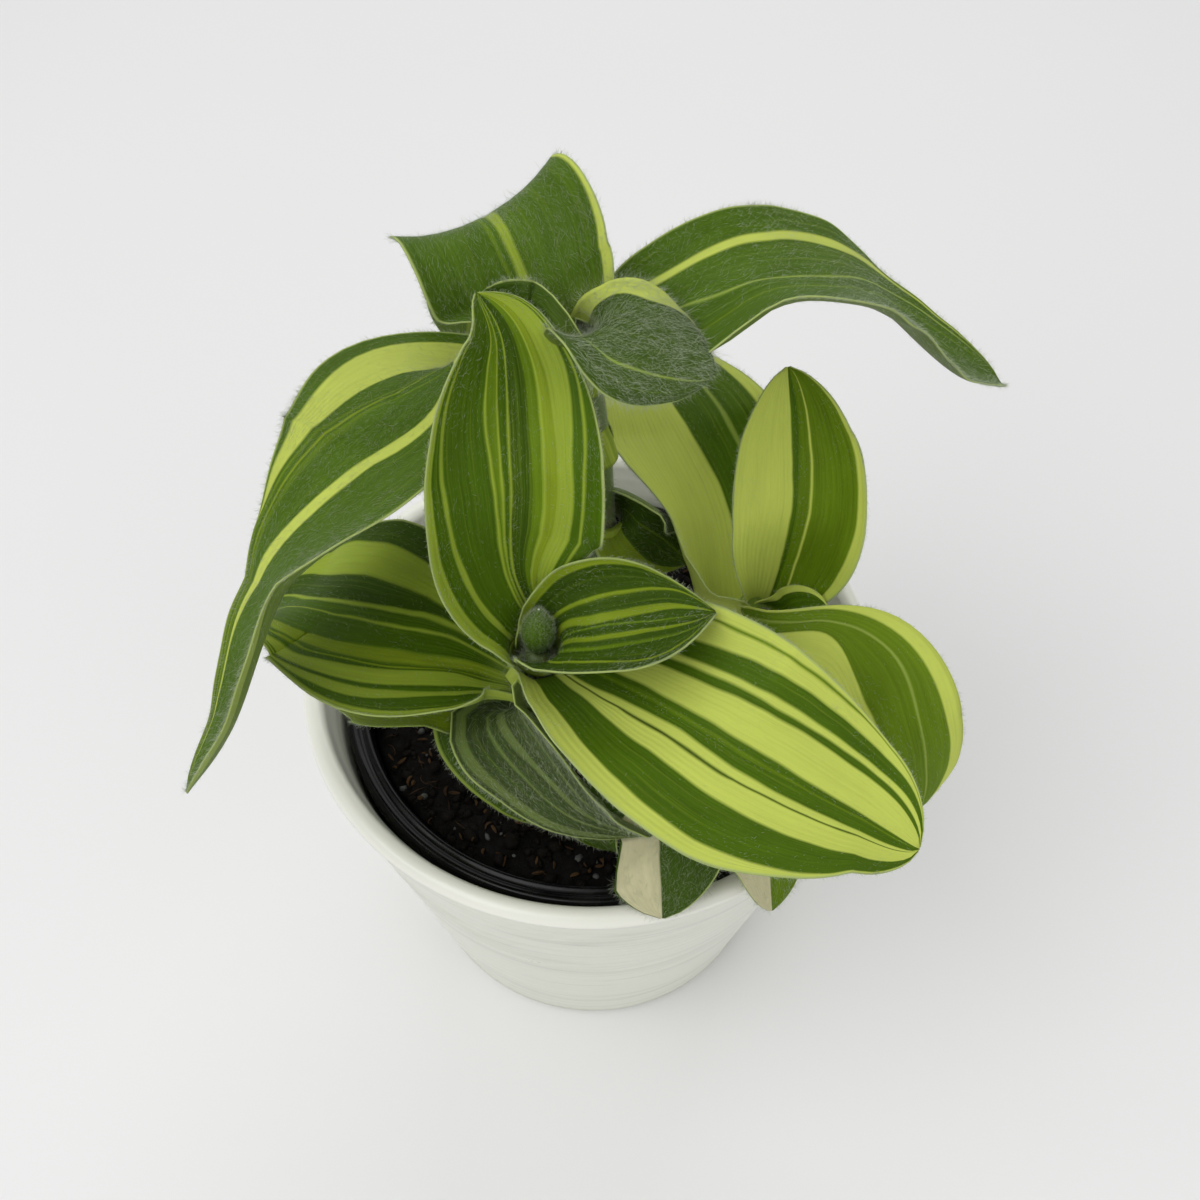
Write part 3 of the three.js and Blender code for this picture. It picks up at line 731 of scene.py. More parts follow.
class Shader:
    """A node material that is built by short calls."""

    def __init__(self, name):
        self.material = bpy.data.materials.new(name)
        self.material.use_nodes = True
        self.nodes, self.links = self.material.node_tree.nodes, self.material.node_tree.links

    def put(self, node, values):
        for key, value in values.items():
            if isinstance(value, bpy.types.NodeSocket):
                self.links.new(value, node.inputs[key])
            else:
                node.inputs[key].default_value = value

    def add(self, kind, output, values, **settings):
        node = self.nodes.new("ShaderNode" + kind)
        for key, value in settings.items():
            setattr(node, key, value)
        self.put(node, values)
        return node.outputs[output]

    def place(self):
        return self.add("TexCoord", "Object", {})

    def noise(self, vector, scale, detail=3.0, rough=0.5, distortion=0.0):
        values = {"Vector": vector, "Scale": scale, "Detail": detail, "Roughness": rough, "Distortion": distortion}
        return self.add("TexNoise", "Fac", values)

    def scaled(self, vector, x, y, z=1.0, turn=0.0):
        return self.add("Mapping", "Vector", {"Vector": vector, "Scale": (x, y, z), "Rotation": (0, 0, turn)})

    def span(self, value, a, b, c, d):
        """The range a to b brought to the range c to d."""
        values = {"Value": value, "From Min": a, "From Max": b, "To Min": c, "To Max": d}
        return self.add("MapRange", "Result", values)

    def math(self, operation, a, b):
        return self.add("Math", 0, {0: a, 1: b}, operation=operation)

    def times(self, a, b):
        return self.math("MULTIPLY", a, b)

    def mix(self, factor, a, b):
        return self.add("Mix", "Result", {"Factor": factor, "A": a, "B": b}, data_type="RGBA")

    def bump(self, height, strength, distance, normal=None):
        values = {"Strength": strength, "Distance": distance, "Height": height}
        return self.add("Bump", "Normal", values if normal is None else {**values, "Normal": normal})

    def done(self, colour, roughness, normal=None, **values):
        """Links the surface. The other values are set directly, with their sockets' names joined by _."""
        bsdf = self.nodes["Principled BSDF"]
        self.put(bsdf, {"Base Color": colour, "Roughness": roughness})
        if normal is not None:
            self.put(bsdf, {"Normal": normal})
        self.put(bsdf, {key.replace("_", " "): value for key, value in values.items()})
        return self.material


def leaf_material(name, veil, gloss, grain=0.42):
    s = Shader(name)
    tone = s.add("Attribute", "Color", {}, attribute_name="tone")
    flow = s.add("UVMap", "UV", {}, uv_map="grain")
    streaks = s.noise(s.scaled(flow, 3.2, 0.05), 1.0, 3, 0.6, 0.2)
    clouds = s.noise(s.scaled(flow, 0.35, 0.09), 1.0, 3, 0.6)
    light, shade = s.span(streaks, 0.3, 0.7, 0.84, 1.16), s.span(clouds, 0.3, 0.7, 0.88, 1.12)
    red = s.add("SeparateColor", "Red", {"Color": tone})
    # the light bands are calmer, and the hairs show on the dark ones
    calm, darkness = s.span(red, 0.12, 0.42, 1.0, 0.25), s.span(red, 0.05, 0.3, 1.0, 0.15)
    both = s.math("POWER", s.times(light, shade), calm)
    colour = s.add("VectorMath", 0, {0: tone, "Scale": both}, operation="SCALE")
    veins = s.noise(s.scaled(flow, 1.7, 0.02), 1.0, 4, 0.7, 0.1)
    colour = s.mix(s.times(s.span(veins, 0.54, 0.66, 0, grain), calm), colour, rgb(112, 136, 34))
    hair = s.noise(s.scaled(flow, 11.0, 1.0, 1.0, 0.4), 1.0, 2, 0.5, 0.4)
    crossing = s.noise(s.scaled(flow, 10.0, 1.2, 1.0, -0.55), 1.0, 2, 0.5, 0.4)
    lines = s.math("MAXIMUM", s.span(hair, 0.54, 0.7, 0, 1), s.span(crossing, 0.56, 0.72, 0, 1))
    colour = s.mix(s.times(s.times(lines, darkness), 0.08 + veil), colour, rgb(140, 160, 104))
    if veil:
        fog = s.times(s.times(s.span(clouds, 0.35, 0.65, 0.5, 1.0), veil * 0.4), darkness)
        colour = s.mix(fog, colour, rgb(98, 122, 74))
    values = {"Scale": 0.27, "Distortion": 0.6, "Detail": 1, "Vector": flow}
    ribs = s.add("TexWave", "Fac", values, wave_type="BANDS", bands_direction="X")
    cells = s.noise(s.scaled(flow, 5, 2.4), 1.0, 2, 0.5)
    normal = s.bump(streaks, 0.3, 0.0001, s.bump(cells, 0.25, 0.00012, s.bump(ribs, 0.25, 0.0002)))
    rough = s.span(streaks, 0.3, 0.7, gloss - 0.06, gloss + 0.08)
    return s.done(colour, rough, normal, Specular_IOR_Level=0.08, Sheen_Weight=0.15 * veil, Sheen_Roughness=0.4,
                  Sheen_Tint=(0.85, 0.95, 0.8, 1))


def hair_material():
    s = Shader("white_hair")
    noise = s.noise(s.place(), 400, 2)
    colour = s.mix(noise, rgb(160, 174, 138), rgb(206, 214, 188))
    return s.done(colour, s.span(noise, 0.3, 0.7, 0.4, 0.55), Sheen_Weight=0.2)


def stem_material():
    s = Shader("green_stem")
    place = s.place()
    lines, spots = s.noise(s.scaled(place, 900, 900, 60), 1.0, 3), s.noise(place, 160, 3)
    colour = s.mix(lines, rgb(66, 88, 30), rgb(100, 122, 54))
    colour = s.mix(s.span(spots, 0.55, 0.75, 0, 0.5), colour, rgb(112, 92, 78))
    return s.done(colour, s.span(spots, 0.3, 0.7, 0.4, 0.55), s.bump(lines, 0.4, 0.0002), Sheen_Weight=0.2)


def glaze_material():
    s = Shader("cream_glaze")
    place = s.place()
    clouds = s.noise(place, 22, 4, 0.55)
    colour = s.mix(clouds, rgb(220, 223, 207), rgb(238, 239, 226))
    # painted highlight: the glaze is painted lighter on the rim, from 83 to 88 mm up, where the light from above
    # falls
    rim = s.span(s.add("SeparateXYZ", "Z", {"Vector": place}), 0.083, 0.088, 0, 1)
    # painted shade: thin horizontal lines of the glaze are painted darker to stand for the shading of its ripples;
    # the same waves also make a bump
    waves = s.noise(s.scaled(place, 14, 14, 330), 1.0, 2, 0.5, 0.6)
    colour = s.mix(s.span(waves, 0.52, 0.66, 0, 0.5), colour, rgb(200, 204, 190))
    colour = s.mix(rim, colour, rgb(246, 246, 236))
    # a few small dark specks
    distance = s.add("TexVoronoi", "Distance", {"Scale": 210, "Randomness": 1, "Vector": place})
    cell = s.add("SeparateColor", "Red", {"Color": distance.node.outputs["Color"]})
    here, few = s.span(distance, 0.05, 0.12, 1, 0), s.span(cell, 0.993, 0.996, 0, 1)
    colour = s.mix(s.times(s.times(here, few), 0.6), colour, rgb(70, 68, 58))
    normal = s.bump(waves, 0.5, 0.0006, s.bump(clouds, 0.12, 0.002))
    return s.done(colour, s.span(clouds, 0.3, 0.7, 0.26, 0.36), normal, Specular_IOR_Level=0.5, Coat_Weight=0.25,
                  Coat_Roughness=0.15)


def plastic_material():
    s = Shader("black_plastic")
    place = s.place()
    dust, fine = s.noise(place, 130, 5, 0.65), s.noise(place, 900, 2)
    colour = s.mix(s.span(dust, 0.5, 0.75, 0, 0.6), rgb(7, 8, 9), rgb(26, 27, 25))
    return s.done(colour, s.span(dust, 0.35, 0.7, 0.14, 0.34), s.bump(fine, 0.1, 0.0001), Specular_IOR_Level=0.22)


def soil_material(name, low, high, wet):
    s = Shader(name)
    place = s.place()
    grain, patch = s.noise(place, 420, 5, 0.7), s.noise(place, 90, 3, 0.6)
    colour = s.mix(s.span(patch, 0.45, 0.75, 0, 0.6), s.mix(grain, rgb(*low), rgb(*high)), rgb(10, 8, 6))
    return s.done(colour, s.span(grain, 0.35, 0.65, wet, 0.95), s.bump(grain, 0.8, 0.0008), Specular_IOR_Level=0.12)


# Leaves

def band_edges(name, t, rng):
    """The tones of a leaf's bands, and each band's far edge at each row."""
    tones, low = [], np.full_like(t, -1.0)
    edges = [low]
    for band in BANDS[name].split(";"):
        tone, *edge = band.split()
        tones.append(tone)
        if not edge:
            high = np.full_like(t, 1.0)
        elif edge[0][0] == "+":
            high = low + float(edge[0][1:]) / 100
        elif edge[0][0] == "~":
            start, end, width = (float(word) / 100 for word in (edge[0][1:], *edge[1:]))
            high = low + width * smooth(start, start + 0.06, t) * (1 - smooth(end - 0.06, end, t))
        else:
            points = np.array([word.split(":") for word in edge], float) / 100
            padded = np.pad(np.interp(t, points[:, 0], points[:, 1]), 3, mode="edge")
            high = np.convolve(padded, [0.06, 0.12, 0.2, 0.24, 0.2, 0.12, 0.06], mode="valid")
        low = np.maximum(high, low + LEAST_BAND) if edge else high
        edges.append(low)
    if tones[0] == "pale":
        edges[1] = (edges[1] - 1) / 2
    if tones[-1] == "pale":
        edges[-2] = (edges[-2] + 1) / 2
    for k in range(2, len(edges) - 2):
        phase = rng.uniform(0, TURN, 3)
        drift = np.sin(t * 17 + phase[0]) + 0.7 * np.sin(t * 37 + phase[1]) + 0.5 * np.sin(t * 71 + phase[2])
        edges[k] = edges[k] + 0.0035 * drift
    for k in range(1, len(edges)):
        edges[k] = np.maximum(edges[k], edges[k - 1] + LEAST_BAND)
    for k in range(len(edges) - 2, 0, -1):
        edges[k] = np.minimum(edges[k], edges[k + 1] - LEAST_BAND)
    return tones, edges


def columns_of(name, t, rng):
    """Places across the blade for each row and column of its mesh, and each column's colour."""
    tones, edges = band_edges(name, t, rng)
    last = len(tones) - 1
    columns, colours = [], []
    for k, tone in enumerate(tones):
        low, high = edges[k], edges[k + 1]
        steps = max(1, math.ceil((high - low).max() / COLUMN_STEP))
        soft = np.minimum(BAND_BLUR, (high - low) * 0.4)
        start, end = low + (soft if k else 0), high - (soft if k < last else 0)
        for share in np.arange(steps + 1) / steps:
            columns.append(start * (1 - share) + end * share)
            colours.append(linear(TONES[tone]))
    return np.array(columns).T, np.array(colours)


def make_leaf(leaf, rng, material):
    rows = int(min(max(leaf.length / ROW_STEP, FEW_ROWS), MANY_ROWS))
    t = np.linspace(0, 1, rows)
    v, colours = columns_of(leaf.name, t, rng)
    t = np.repeat(t[:, None], v.shape[1], 1)
    centre = leaf.place(t, v)
    normal = leaf.normals(t, v)[0]
    across = v * leaf.half(t)
    phase = rng.uniform(0, 6.28, 4)
    # slow waves of the blade, stronger at its margins, and the sunken midrib
    wave = WAVE * np.sin(t * leaf.length / 4.6 + phase[0] + 2.0 * np.sign(v)) * np.abs(v) ** 3
    wave += FINE_WAVE * np.sin(t * leaf.length / 2.1 + phase[1] + v * 2) * np.abs(v) ** 4
    wave *= smooth(0.1, 0.3, t) * smooth(0, 0.12, 1 - t)
    crease = -CREASE * bump_at(across, 0, 0.9) * smooth(0.05, 0.25, t) * smooth(0, 0.1, 1 - t)
    ribs = RIB * np.cos(across * TURN / RIB_STEP)
    depth = THICKNESS * (1 - 0.7 * np.abs(v) ** 6) * (0.6 + 0.4 * smooth(0, 0.06, 1 - t))
    top = centre + normal * (wave + crease + ribs + depth / 2)[..., None]
    under = centre + normal * (wave + crease * 0.6 - depth / 2)[..., None]
    size = v.size
    index = np.arange(size).reshape(v.shape)
    upper = quads_of(index)
    ring = np.concatenate([index[0, :], index[1:, -1], index[-1, -2::-1], index[-2:0:-1, 0]])
    after = np.roll(ring, -1)
    rim = np.stack([ring, ring + size, after + size, after], -1)
    faces = np.concatenate([upper, upper[:, [0, 3, 2, 1]] + size, rim])
    points = np.concatenate([top.reshape(-1, 3), under.reshape(-1, 3)])
    made = new_object("blade_" + leaf.name, points, [faces], material)
    tone = np.repeat(colours[None], rows, 0)
    below = tone if leaf.name in DARK_BELOW else tone * 0.7 + linear(TONES["pale"]) * 0.22
    sheath = (1 - smooth(0.04, 0.16, t))[..., None]
    tone = tone * (1 - sheath * 0.6) + linear(TONES["soft"]) * sheath * 0.6
    # partly painted light: the sheath's underside is lifted towards moss green, partly its own pale green and
    # partly painted light that lifts the shade in the leaf joints
    below = below * (1 - sheath * 0.8) + linear(TONES["moss"]) * sheath * 0.8
    rgba = np.ones((2 * size, 4))
    rgba[:, :3] = np.concatenate([tone.reshape(-1, 3), below.reshape(-1, 3)])
    flat = np.repeat((v.mean(0) * leaf.leaf["width"] / 2)[None], rows, 0)
    uv = np.stack([flat, t * leaf.length], -1).reshape(-1, 2) + rng.uniform(0, 50, 2)
    paint(made, rgba, np.concatenate([uv, uv]))
    belongs(made, "leaf", "leaf_" + leaf.name)


def make_hairs(leaf, rng, material):
    density, long, _ = leaf.leaf["fur"]
    count = int(leaf.length * leaf.leaf["width"] * 0.75 * density)
    t = rng.uniform(0.06, 0.985, count)
    v = rng.uniform(-0.98, 0.98, count)
    keep = rng.uniform(0, 1, count) < leaf.half(t) / (leaf.leaf["width"] / 2)
    t, v = t[keep], v[keep]
    count = len(t)
    normal, along, across = leaf.normals(t, v)
    face = np.where(rng.uniform(0, 1, count) < 0.85, 1.0, -1.0)[:, None]
    root = leaf.place(t, v) + normal * face * (THICKNESS / 2 - ROOTED)
    lean = unit(along * (1 + 0.3 * rng.normal(0, 1, (count, 1))) + across * rng.normal(0, 0.8, (count, 1)))
    direction = unit(lean + normal * face * rng.uniform(0.08, 0.4, (count, 1)))
    tip = root + direction * long * rng.uniform(0.35, 1.25, (count, 1))
    points, tris = spikes([root, tip], rng.uniform(*FINE_HAIR, count))

    # a fringe along both margins and a few long hairs that stand off the blade
    fringe, strays = int(leaf.length * FRINGE_PER_MM), int(count * STRAY_SHARE)
    t = np.concatenate([rng.uniform(0.06, 1.0, fringe * 2), rng.uniform(0.08, 0.95, strays)])
    v = np.concatenate([np.full(fringe, -1.0), np.full(fringe, 1.0), rng.uniform(-0.9, 0.9, strays)])
    normal, along, across = leaf.normals(t, v)
    count = len(t)
    edge = (np.abs(v) > 0.99)[:, None]
    out = np.where(edge, across * np.sign(v)[:, None], normal * 0.7 + across * rng.normal(0, 0.6, (count, 1)))
    lift = np.where(edge, rng.uniform(-0.1, 0.12, (count, 1)), THICKNESS / 2 - ROOTED)
    root = leaf.place(t, v) + normal * lift - np.where(edge, out * ROOTED, 0)
    direction = unit(out + along * rng.normal(0.6, 0.6, (count, 1)) + normal * rng.normal(0.15, 0.4, (count, 1)))
    size = np.where(edge, 0.5 + 0.45 * long, 1.2 * long) * rng.uniform(0.35, 1.25, (count, 1))
    more, faces = bent(root, direction, size, 0.12, FRINGE_HAIR, rng)
    hairs = np.concatenate([points, more]), np.concatenate([tris, faces + len(points)])
    grow("hairs_" + leaf.name, "leaf", hairs, material)


# Stems, bud and the felt at the stems' tops

def make_stem(name, rng, material, hair):
    line = stem_line(name)
    swell = np.zeros(len(line))
    for node in [one["node"] for one in LEAVES.values() if one["stem"] == name]:
        swell = np.maximum(swell, bump_at(line[:, 2], node, 2.2))
    thick = STEM_RADIUS - SWELLING + SWELLING * swell
    radii = thick * (1 - 0.25 * smooth(0.9, 1, np.linspace(0, 1, len(line)))) - 0.02
    radii[-1] *= 0.6
    points, faces = tube(line, radii, 24)
    belongs(new_object("stem_" + name + "_skin", points, faces, material), "stem", "stem_" + name)
    above = np.nonzero(line[:, 2] > SOIL["level"] + 0.5)[0]
    count = len(above) * STEM_HAIRS
    at = rng.choice(above, count)
    angle = rng.uniform(0, TURN, count)
    ahead = unit(np.gradient(line, axis=0))[at]
    out = spokes(ahead, angle)
    root = line[at] + out * (radii[at] - 0.05)[:, None] + ahead * rng.uniform(-0.6, 0.6, (count, 1))
    direction = unit(out + ahead * rng.normal(0.1, 0.5, (count, 1)))
    tip = root + direction * rng.uniform(0.6, 1.8, (count, 1))
    grow("hairs_stem_" + name, "stem", spikes([root, tip], rng.uniform(*STEM_HAIR, count)), hair)


def make_bud(rng, material, hair):
    """A small hooded leaf still rolled up: a spindle that is hollow on its upper front, with a pale rim."""
    lean = unit(np.array(BUD["lean"]))
    foot = curve(STEMS["front"], 300)[-1] + lean * 0.9
    rows, sides, count = 44, 72, BUD_HAIRS
    w = unit(np.cross(np.array([1.0, 0, 0]), lean))
    u = np.cross(w, lean)
    share = np.linspace(0, 1, rows)[:, None]
    turn = np.tile(circle(sides), (rows, 1))
    spindle = BUD["radius"] * np.sin(math.pi * (BUD["foot"] + BUD["span"] * share)) ** BUD["power"]
    radius = np.maximum(spindle, BUD["tip"]) * 0.985
    x, y, z = radius * np.cos(turn), radius * np.sin(turn), BUD["length"] * share + 0 * turn
    # the mouth of the hood faces the front and up
    mouth = np.sqrt((x / 2.25) ** 2 + ((z - 5.6) / 3.1) ** 2)
    front = smooth(0.0, 0.6, -y)
    inside = front * (1 - smooth(0.45, 1.0, mouth))
    y = y + inside * 2.3
    rim = bump_at(mouth, 1.0, 0.15) * front
    lift = 1 + 0.05 * rim
    skin = foot + (x * lift)[..., None] * u + (y * lift)[..., None] * w + z[..., None] * lean
    points = np.concatenate([skin.reshape(-1, 3), [foot], [foot + lean * BUD["length"]]])
    made = new_object("bud_front_rolled", points, closed_rings(rows, sides), material)
    rgba = np.ones((len(points), 4))
    inside, pale = inside.reshape(-1, 1), rim.reshape(-1, 1)
    tone = linear(TONES["dark"]) * (1 - inside) + linear(TONES["deep"]) * inside
    rgba[:-2, :3] = tone * (1 - pale) + linear(TONES["soft"]) * pale
    uv = np.stack([turn * BUD["radius"], z], -1).reshape(-1, 2)
    paint(made, rgba, np.concatenate([uv, [[0, 0], [0, BUD["length"]]]]))
    belongs(made, "leaf", "leaf_bud_front")

    at = rng.integers(3, rows - 1, count), rng.integers(0, sides, count)
    root = skin[at] * 0.97 + (foot + lean * z[at][:, None]) * 0.03
    out = unit(u * np.cos(turn[at])[:, None] + w * np.sin(turn[at])[:, None])
    ahead = out * rng.uniform(0.1, 0.5, (count, 1)) + lean * rng.uniform(0.2, 1.2, (count, 1))
    direction = unit(ahead + rng.normal(0, 0.4, (count, 3)))
    tip = root + direction * rng.uniform(0.4, 1.2, (count, 1))
    grow("hairs_bud_front", "leaf", spikes([root, tip], rng.uniform(*FINE_HAIR, count)), hair)


def make_tuft(name, stem, count, reach, rng, hair):
    """The felt of hairs that fills the leaf joints at a stem's top."""
    line = stem_line(stem)
    axis = unit(line[-1] - line[-2])
    out = spokes(axis, rng.uniform(0, TURN, count))
    root = line[-1] + out * rng.uniform(1.6, 2.9, (count, 1)) - axis * rng.uniform(0.0, 5.0, (count, 1))
    ahead = out * rng.uniform(0.2, 1.0, (count, 1)) + axis * rng.uniform(0.2, 1.0, (count, 1))
    direction = unit(ahead + rng.normal(0, 0.35, (count, 3)))
    size = reach * rng.uniform(0.4, 1.1, (count, 1))
    grow(name, "stem", bent(root, direction, size, 0.15, FELT_HAIR, rng), hair)


# Pots

def rows_of(*parts):
    """Rows of (radius, height) from pairs of radii and heights."""
    return np.concatenate([np.stack(np.broadcast_arrays(r, z), -1).reshape(-1, 2) for r, z in parts]).astype(float)


def lathe(name, profile, segments, material, push=None):
    """Turns a closed profile of (radius, height) rows about the vertical axis."""
    angle, radius, height = circle(segments)[None, :], profile[:, :1], profile[:, 1:]
    if push is not None:
        radius = radius + push(angle, height, radius)
    points = polar(radius, angle, height).reshape(-1, 3)
    made = new_object(name, points, [rings(len(profile), segments)], material)
    bm = bmesh.new()
    bm.from_mesh(made.data)
    bmesh.ops.remove_doubles(bm, verts=bm.verts, dist=1e-6)
    bmesh.ops.recalc_face_normals(bm, faces=bm.faces)
    bm.to_mesh(made.data)
    bm.free()
    made.data.shade_smooth()
    return made


def cover_outside(z):
    return COVER["base"] + (COVER["rim"] - COVER["base"]) * z / COVER["height"]


def ripples(angle, z, r):
    """The uneven rings of the glazed pot's outside, strongest on the front and in the upper half."""
    outer = (r > cover_outside(z) - 1.2) & (z > 4) & (z < COVER["height"] - COVER["lip"] - 0.5)
    upper = (0.25 + 0.75 * smooth(38, 66, z)) * (1 - smooth(82, 86, z))
    side = 0.5 + 0.5 * np.cos(angle - math.radians(250))
    wobble = 1.6 * np.sin(angle * 3 + 0.7) + 0.9 * np.sin(angle * 7 + 2.1) + 0.25 * np.sin(angle * 12 + z * 0.15)
    fine = np.sin((z + wobble) * TURN / 3.1) + 0.7 * np.sin((z - 0.8 * wobble) * TURN / 4.3 + 1.0)
    fine = fine * (0.6 + 0.4 * np.sin(angle * 5 + z * 0.2))
    groove = 0.35 * bump_at(z, 85.2, 1.3)
    return np.where(outer, -0.24 + 0.13 * fine * upper * side - groove, 0.0)


def make_cover(material):
    base, wall, floor, lip = (COVER[key] for key in ("base", "wall", "floor", "lip"))
    centre_r, centre_z = COVER["rim"] - lip, COVER["height"] - lip
    foot, edge = math.pi / 2 * np.arange(1, 7) / 6, math.pi * np.arange(15) / 14
    outside, inside = np.linspace(3.4, centre_z - 0.6, COVER_ROWS), np.linspace(centre_z - 3, floor + 4, 24)
    profile = rows_of(
        ([0.0, 20, base - 3.2], 0.0),
        (base - 2.6 + 2.6 * np.sin(foot), 2.2 - 2.2 * np.cos(foot)),
        (cover_outside(outside) - 0.06, outside),
        (centre_r + lip * np.cos(edge) - 0.02, centre_z + lip * np.sin(edge) - 0.02),
        (cover_outside(inside) - wall, inside),
        ([cover_outside(floor) - wall - 4, 0.0], floor),
    )
    belongs(lathe("cover_pot_glazed", profile, COVER_SEGMENTS, material, ripples), "glaze", "cover_pot")


def nursery_outside(z):
    n = NURSERY
    return n["base"] + (n["lip"] - n["base"]) * (z - n["foot"]) / (n["height"] - n["foot"])


def make_nursery(material):
    base, wall, rim, foot, height = (NURSERY[key] for key in ("base", "wall", "rim", "foot", "height"))
    low = height - NURSERY["ledge"]
    outside, inside = np.linspace(foot + 3, low - 0.2, 20), np.linspace(low - 4, foot + 3, 12)
    # the rim's upper edge with its ring, as steps in from the rim and down from the top
    step_in = np.array([0, 0.25, 0.9, 1.6, 2.0, 2.6, 3.2, 3.7, 4.1, 4.5])
    step_down = np.array([0.9, 0.25, 0, 0.05, 0.5, 0.7, 0.3, 0.1, 0.4, 1.0])
    profile = rows_of(
        ([0, base - 1, base], [foot, foot, foot + 0.8]),
        (nursery_outside(outside), outside),
        ([rim - 1.2, rim - 0.3, rim], [low, low + 0.3, low + 1.2]),
        (rim - step_in, height - step_down),
        (nursery_outside(low) - wall - 0.1, low - 1),
        (nursery_outside(inside) - wall, inside),
        ([base - wall, 0], foot + wall),
    )
    belongs(lathe("nursery_pot_black", profile, NURSERY_SEGMENTS, material), "nursery_plastic", "nursery_pot")


# Soil

def lumps(x, y, phase):
    total = np.zeros_like(x)
    for row, (wave, height) in zip(phase, SOIL_LUMPS):
        for angle, start in row:
            total += height * np.sin((x * math.cos(angle) + y * math.sin(angle)) * TURN / wave + start)
    return total / 3


def icosahedron():
    """The corners and faces of the body that the crumbs are bent from."""
    low, tall = 1 / math.sqrt(5), 2 / math.sqrt(5)
    angle = TURN / 10 * np.array([0, 2, 4, 6, 8, 1, 3, 5, 7, 9])
    middle = polar(tall, angle, np.repeat([low, -low], 5))
    faces = []
    for k in range(5):
        a, b, c, d = 1 + k, 1 + (k + 1) % 5, 6 + k, 6 + (k + 1) % 5
        faces += [[0, a, b], [a, c, b], [c, d, b], [11, d, c]]
    return np.concatenate([[[0, 0, 1]], np.round(middle, 2), [[0, 0, -1]]]), np.array(faces)


def make_soil(rng, base, crumb, fibre, grit):
    edge = nursery_outside(SOIL["level"]) - NURSERY["wall"] - SOIL["gap"]
    phase = rng.uniform(0, TURN, (len(SOIL_LUMPS), 5, 2))

    def height(x, y):
        r = np.hypot(x, y)
        mound = SOIL["level"] + SOIL["mound"] * (1 - (r / edge) ** 2) - 0.9
        bumps = lumps(x, y, phase)
        return mound + bumps * (1 - smooth(edge - 3, edge, r) * 0.5)

    top = polar(np.linspace(0.5, edge - 0.7, SOIL_RINGS)[:, None], circle(SOIL_SEGMENTS), 0.0).copy()
    top[..., 2] = height(top[..., 0], top[..., 1])
    low_edge = nursery_outside(SOIL["bottom"]) - NURSERY["wall"] - SOIL["gap"]
    wall = polar(edge * 0.995, circle(SOIL_SEGMENTS), SOIL["level"] - 2.5)
    foot = polar(low_edge, circle(SOIL_SEGMENTS), SOIL["bottom"])
    middles = [[0, 0, float(height(np.array(0.0), np.array(0.0)))], [0, 0, SOIL["bottom"]]]
    points = np.concatenate([top.reshape(-1, 3), wall, foot, middles])
    faces = [block[:, ::-1] for block in closed_rings(SOIL_RINGS + 2, SOIL_SEGMENTS)]
    belongs(new_object("soil_bed", points, faces, base), "soil", "soil")
    corners, sides = icosahedron()

    def scatter(name, count, low, high, material, squash=0.7, inner=0.0):
        """Bent and squashed crumbs, more than inner out from the middle."""
        radius = np.sqrt(rng.uniform(inner**2, 1, count)) * (edge - 1.5)
        turn = rng.uniform(0, TURN, count)
        size = low + (high - low) * rng.uniform(0, 1, count) ** 2.2
        px, py = radius * np.cos(turn), radius * np.sin(turn)
        shape = corners[None] * (1 + rng.normal(0, 0.22, (count, 12, 1))) * size[:, None, None]
        shape = shape * (1 + rng.uniform(-0.35, 0.35, (count, 1, 3)))
        spin = rng.uniform(0, TURN, count)
        cs, sn = np.cos(spin)[:, None], np.sin(spin)[:, None]
        rx = shape[..., 0] * cs - shape[..., 1] * sn + px[:, None]
        ry = shape[..., 0] * sn + shape[..., 1] * cs + py[:, None]
        rz = shape[..., 2] * squash + (height(px, py) + size * 0.15)[:, None]
        faces = (np.arange(count)[:, None, None] * 12 + sides[None]).reshape(-1, 3)
        points = np.stack([rx, ry, rz], -1).reshape(-1, 3)
        belongs(new_object(name, points, [faces], material), "soil")

    def strips(name, count, long, wide, material, inner):
        """Bowed strips that lie on the soil and rise a little, more than inner out from the middle."""
        low, high = [inner**2, 0, 0, 0.4, 0.5, -0.9, -0.05], [1, TURN, TURN, 1, 1, 0.9, 0.45]
        s, start = np.linspace(-0.5, 0.5, 6), 0
        points, quads, tris = [], [], []
        for share, turn, heading, size, width, bow, tilt in rng.uniform(low, high, (count, 7)):
            radius, size = math.sqrt(share) * (edge - 1.8), size * long
            px, py = radius * math.cos(turn), radius * math.sin(turn)
            ahead = heading + bow * s
            rise = 0.35 + size * tilt * (s + 0.5) + 0.2 * np.sin(np.linspace(0, 3.1, 6))
            rise = rise + float(height(np.array(px), np.array(py)))
            line = np.stack([px + size * s * np.cos(ahead), py + size * s * np.sin(ahead), rise], -1)
            line[:, :2] *= np.minimum(1, (edge - 1.0) / np.hypot(line[:, 0], line[:, 1]))[:, None]
            strip, faces = tube(line, width * wide * np.array([0.3, 0.8, 1, 1, 0.8, 0.25]), 4)
            points.append(strip)
            quads.append(faces[0] + start)
            tris.append(faces[1] + start)
            start += len(strip)
        faces = [np.concatenate(quads), np.concatenate(tris)]
        belongs(new_object(name, np.concatenate(points), faces, material, shade=False), "soil")

    scatter("soil_crumbs", 2100, 0.35, 1.5, crumb)
    scatter("soil_grit", 130, 0.35, 1.1, grit, 0.8, 0.5)
    strips("soil_fibres", 130, 4.5, 0.13, fibre, 0.3)
    strips("soil_bark", 210, 2.6, 0.45, fibre, 0.55)


# Camera, floor and light

def make_camera():
    data = bpy.data.cameras.new("camera")
    data.lens, data.sensor_width = LENS, SENSOR
    data.clip_start, data.clip_end = 0.01, 20
    made = bpy.data.objects.new("camera", data)
    made.location = CAMERA_PLACE
    made.rotation_euler = (math.radians(CAMERA_TILT), 0, 0)
    bpy.context.scene.collection.objects.link(made)
    bpy.context.scene.camera = made


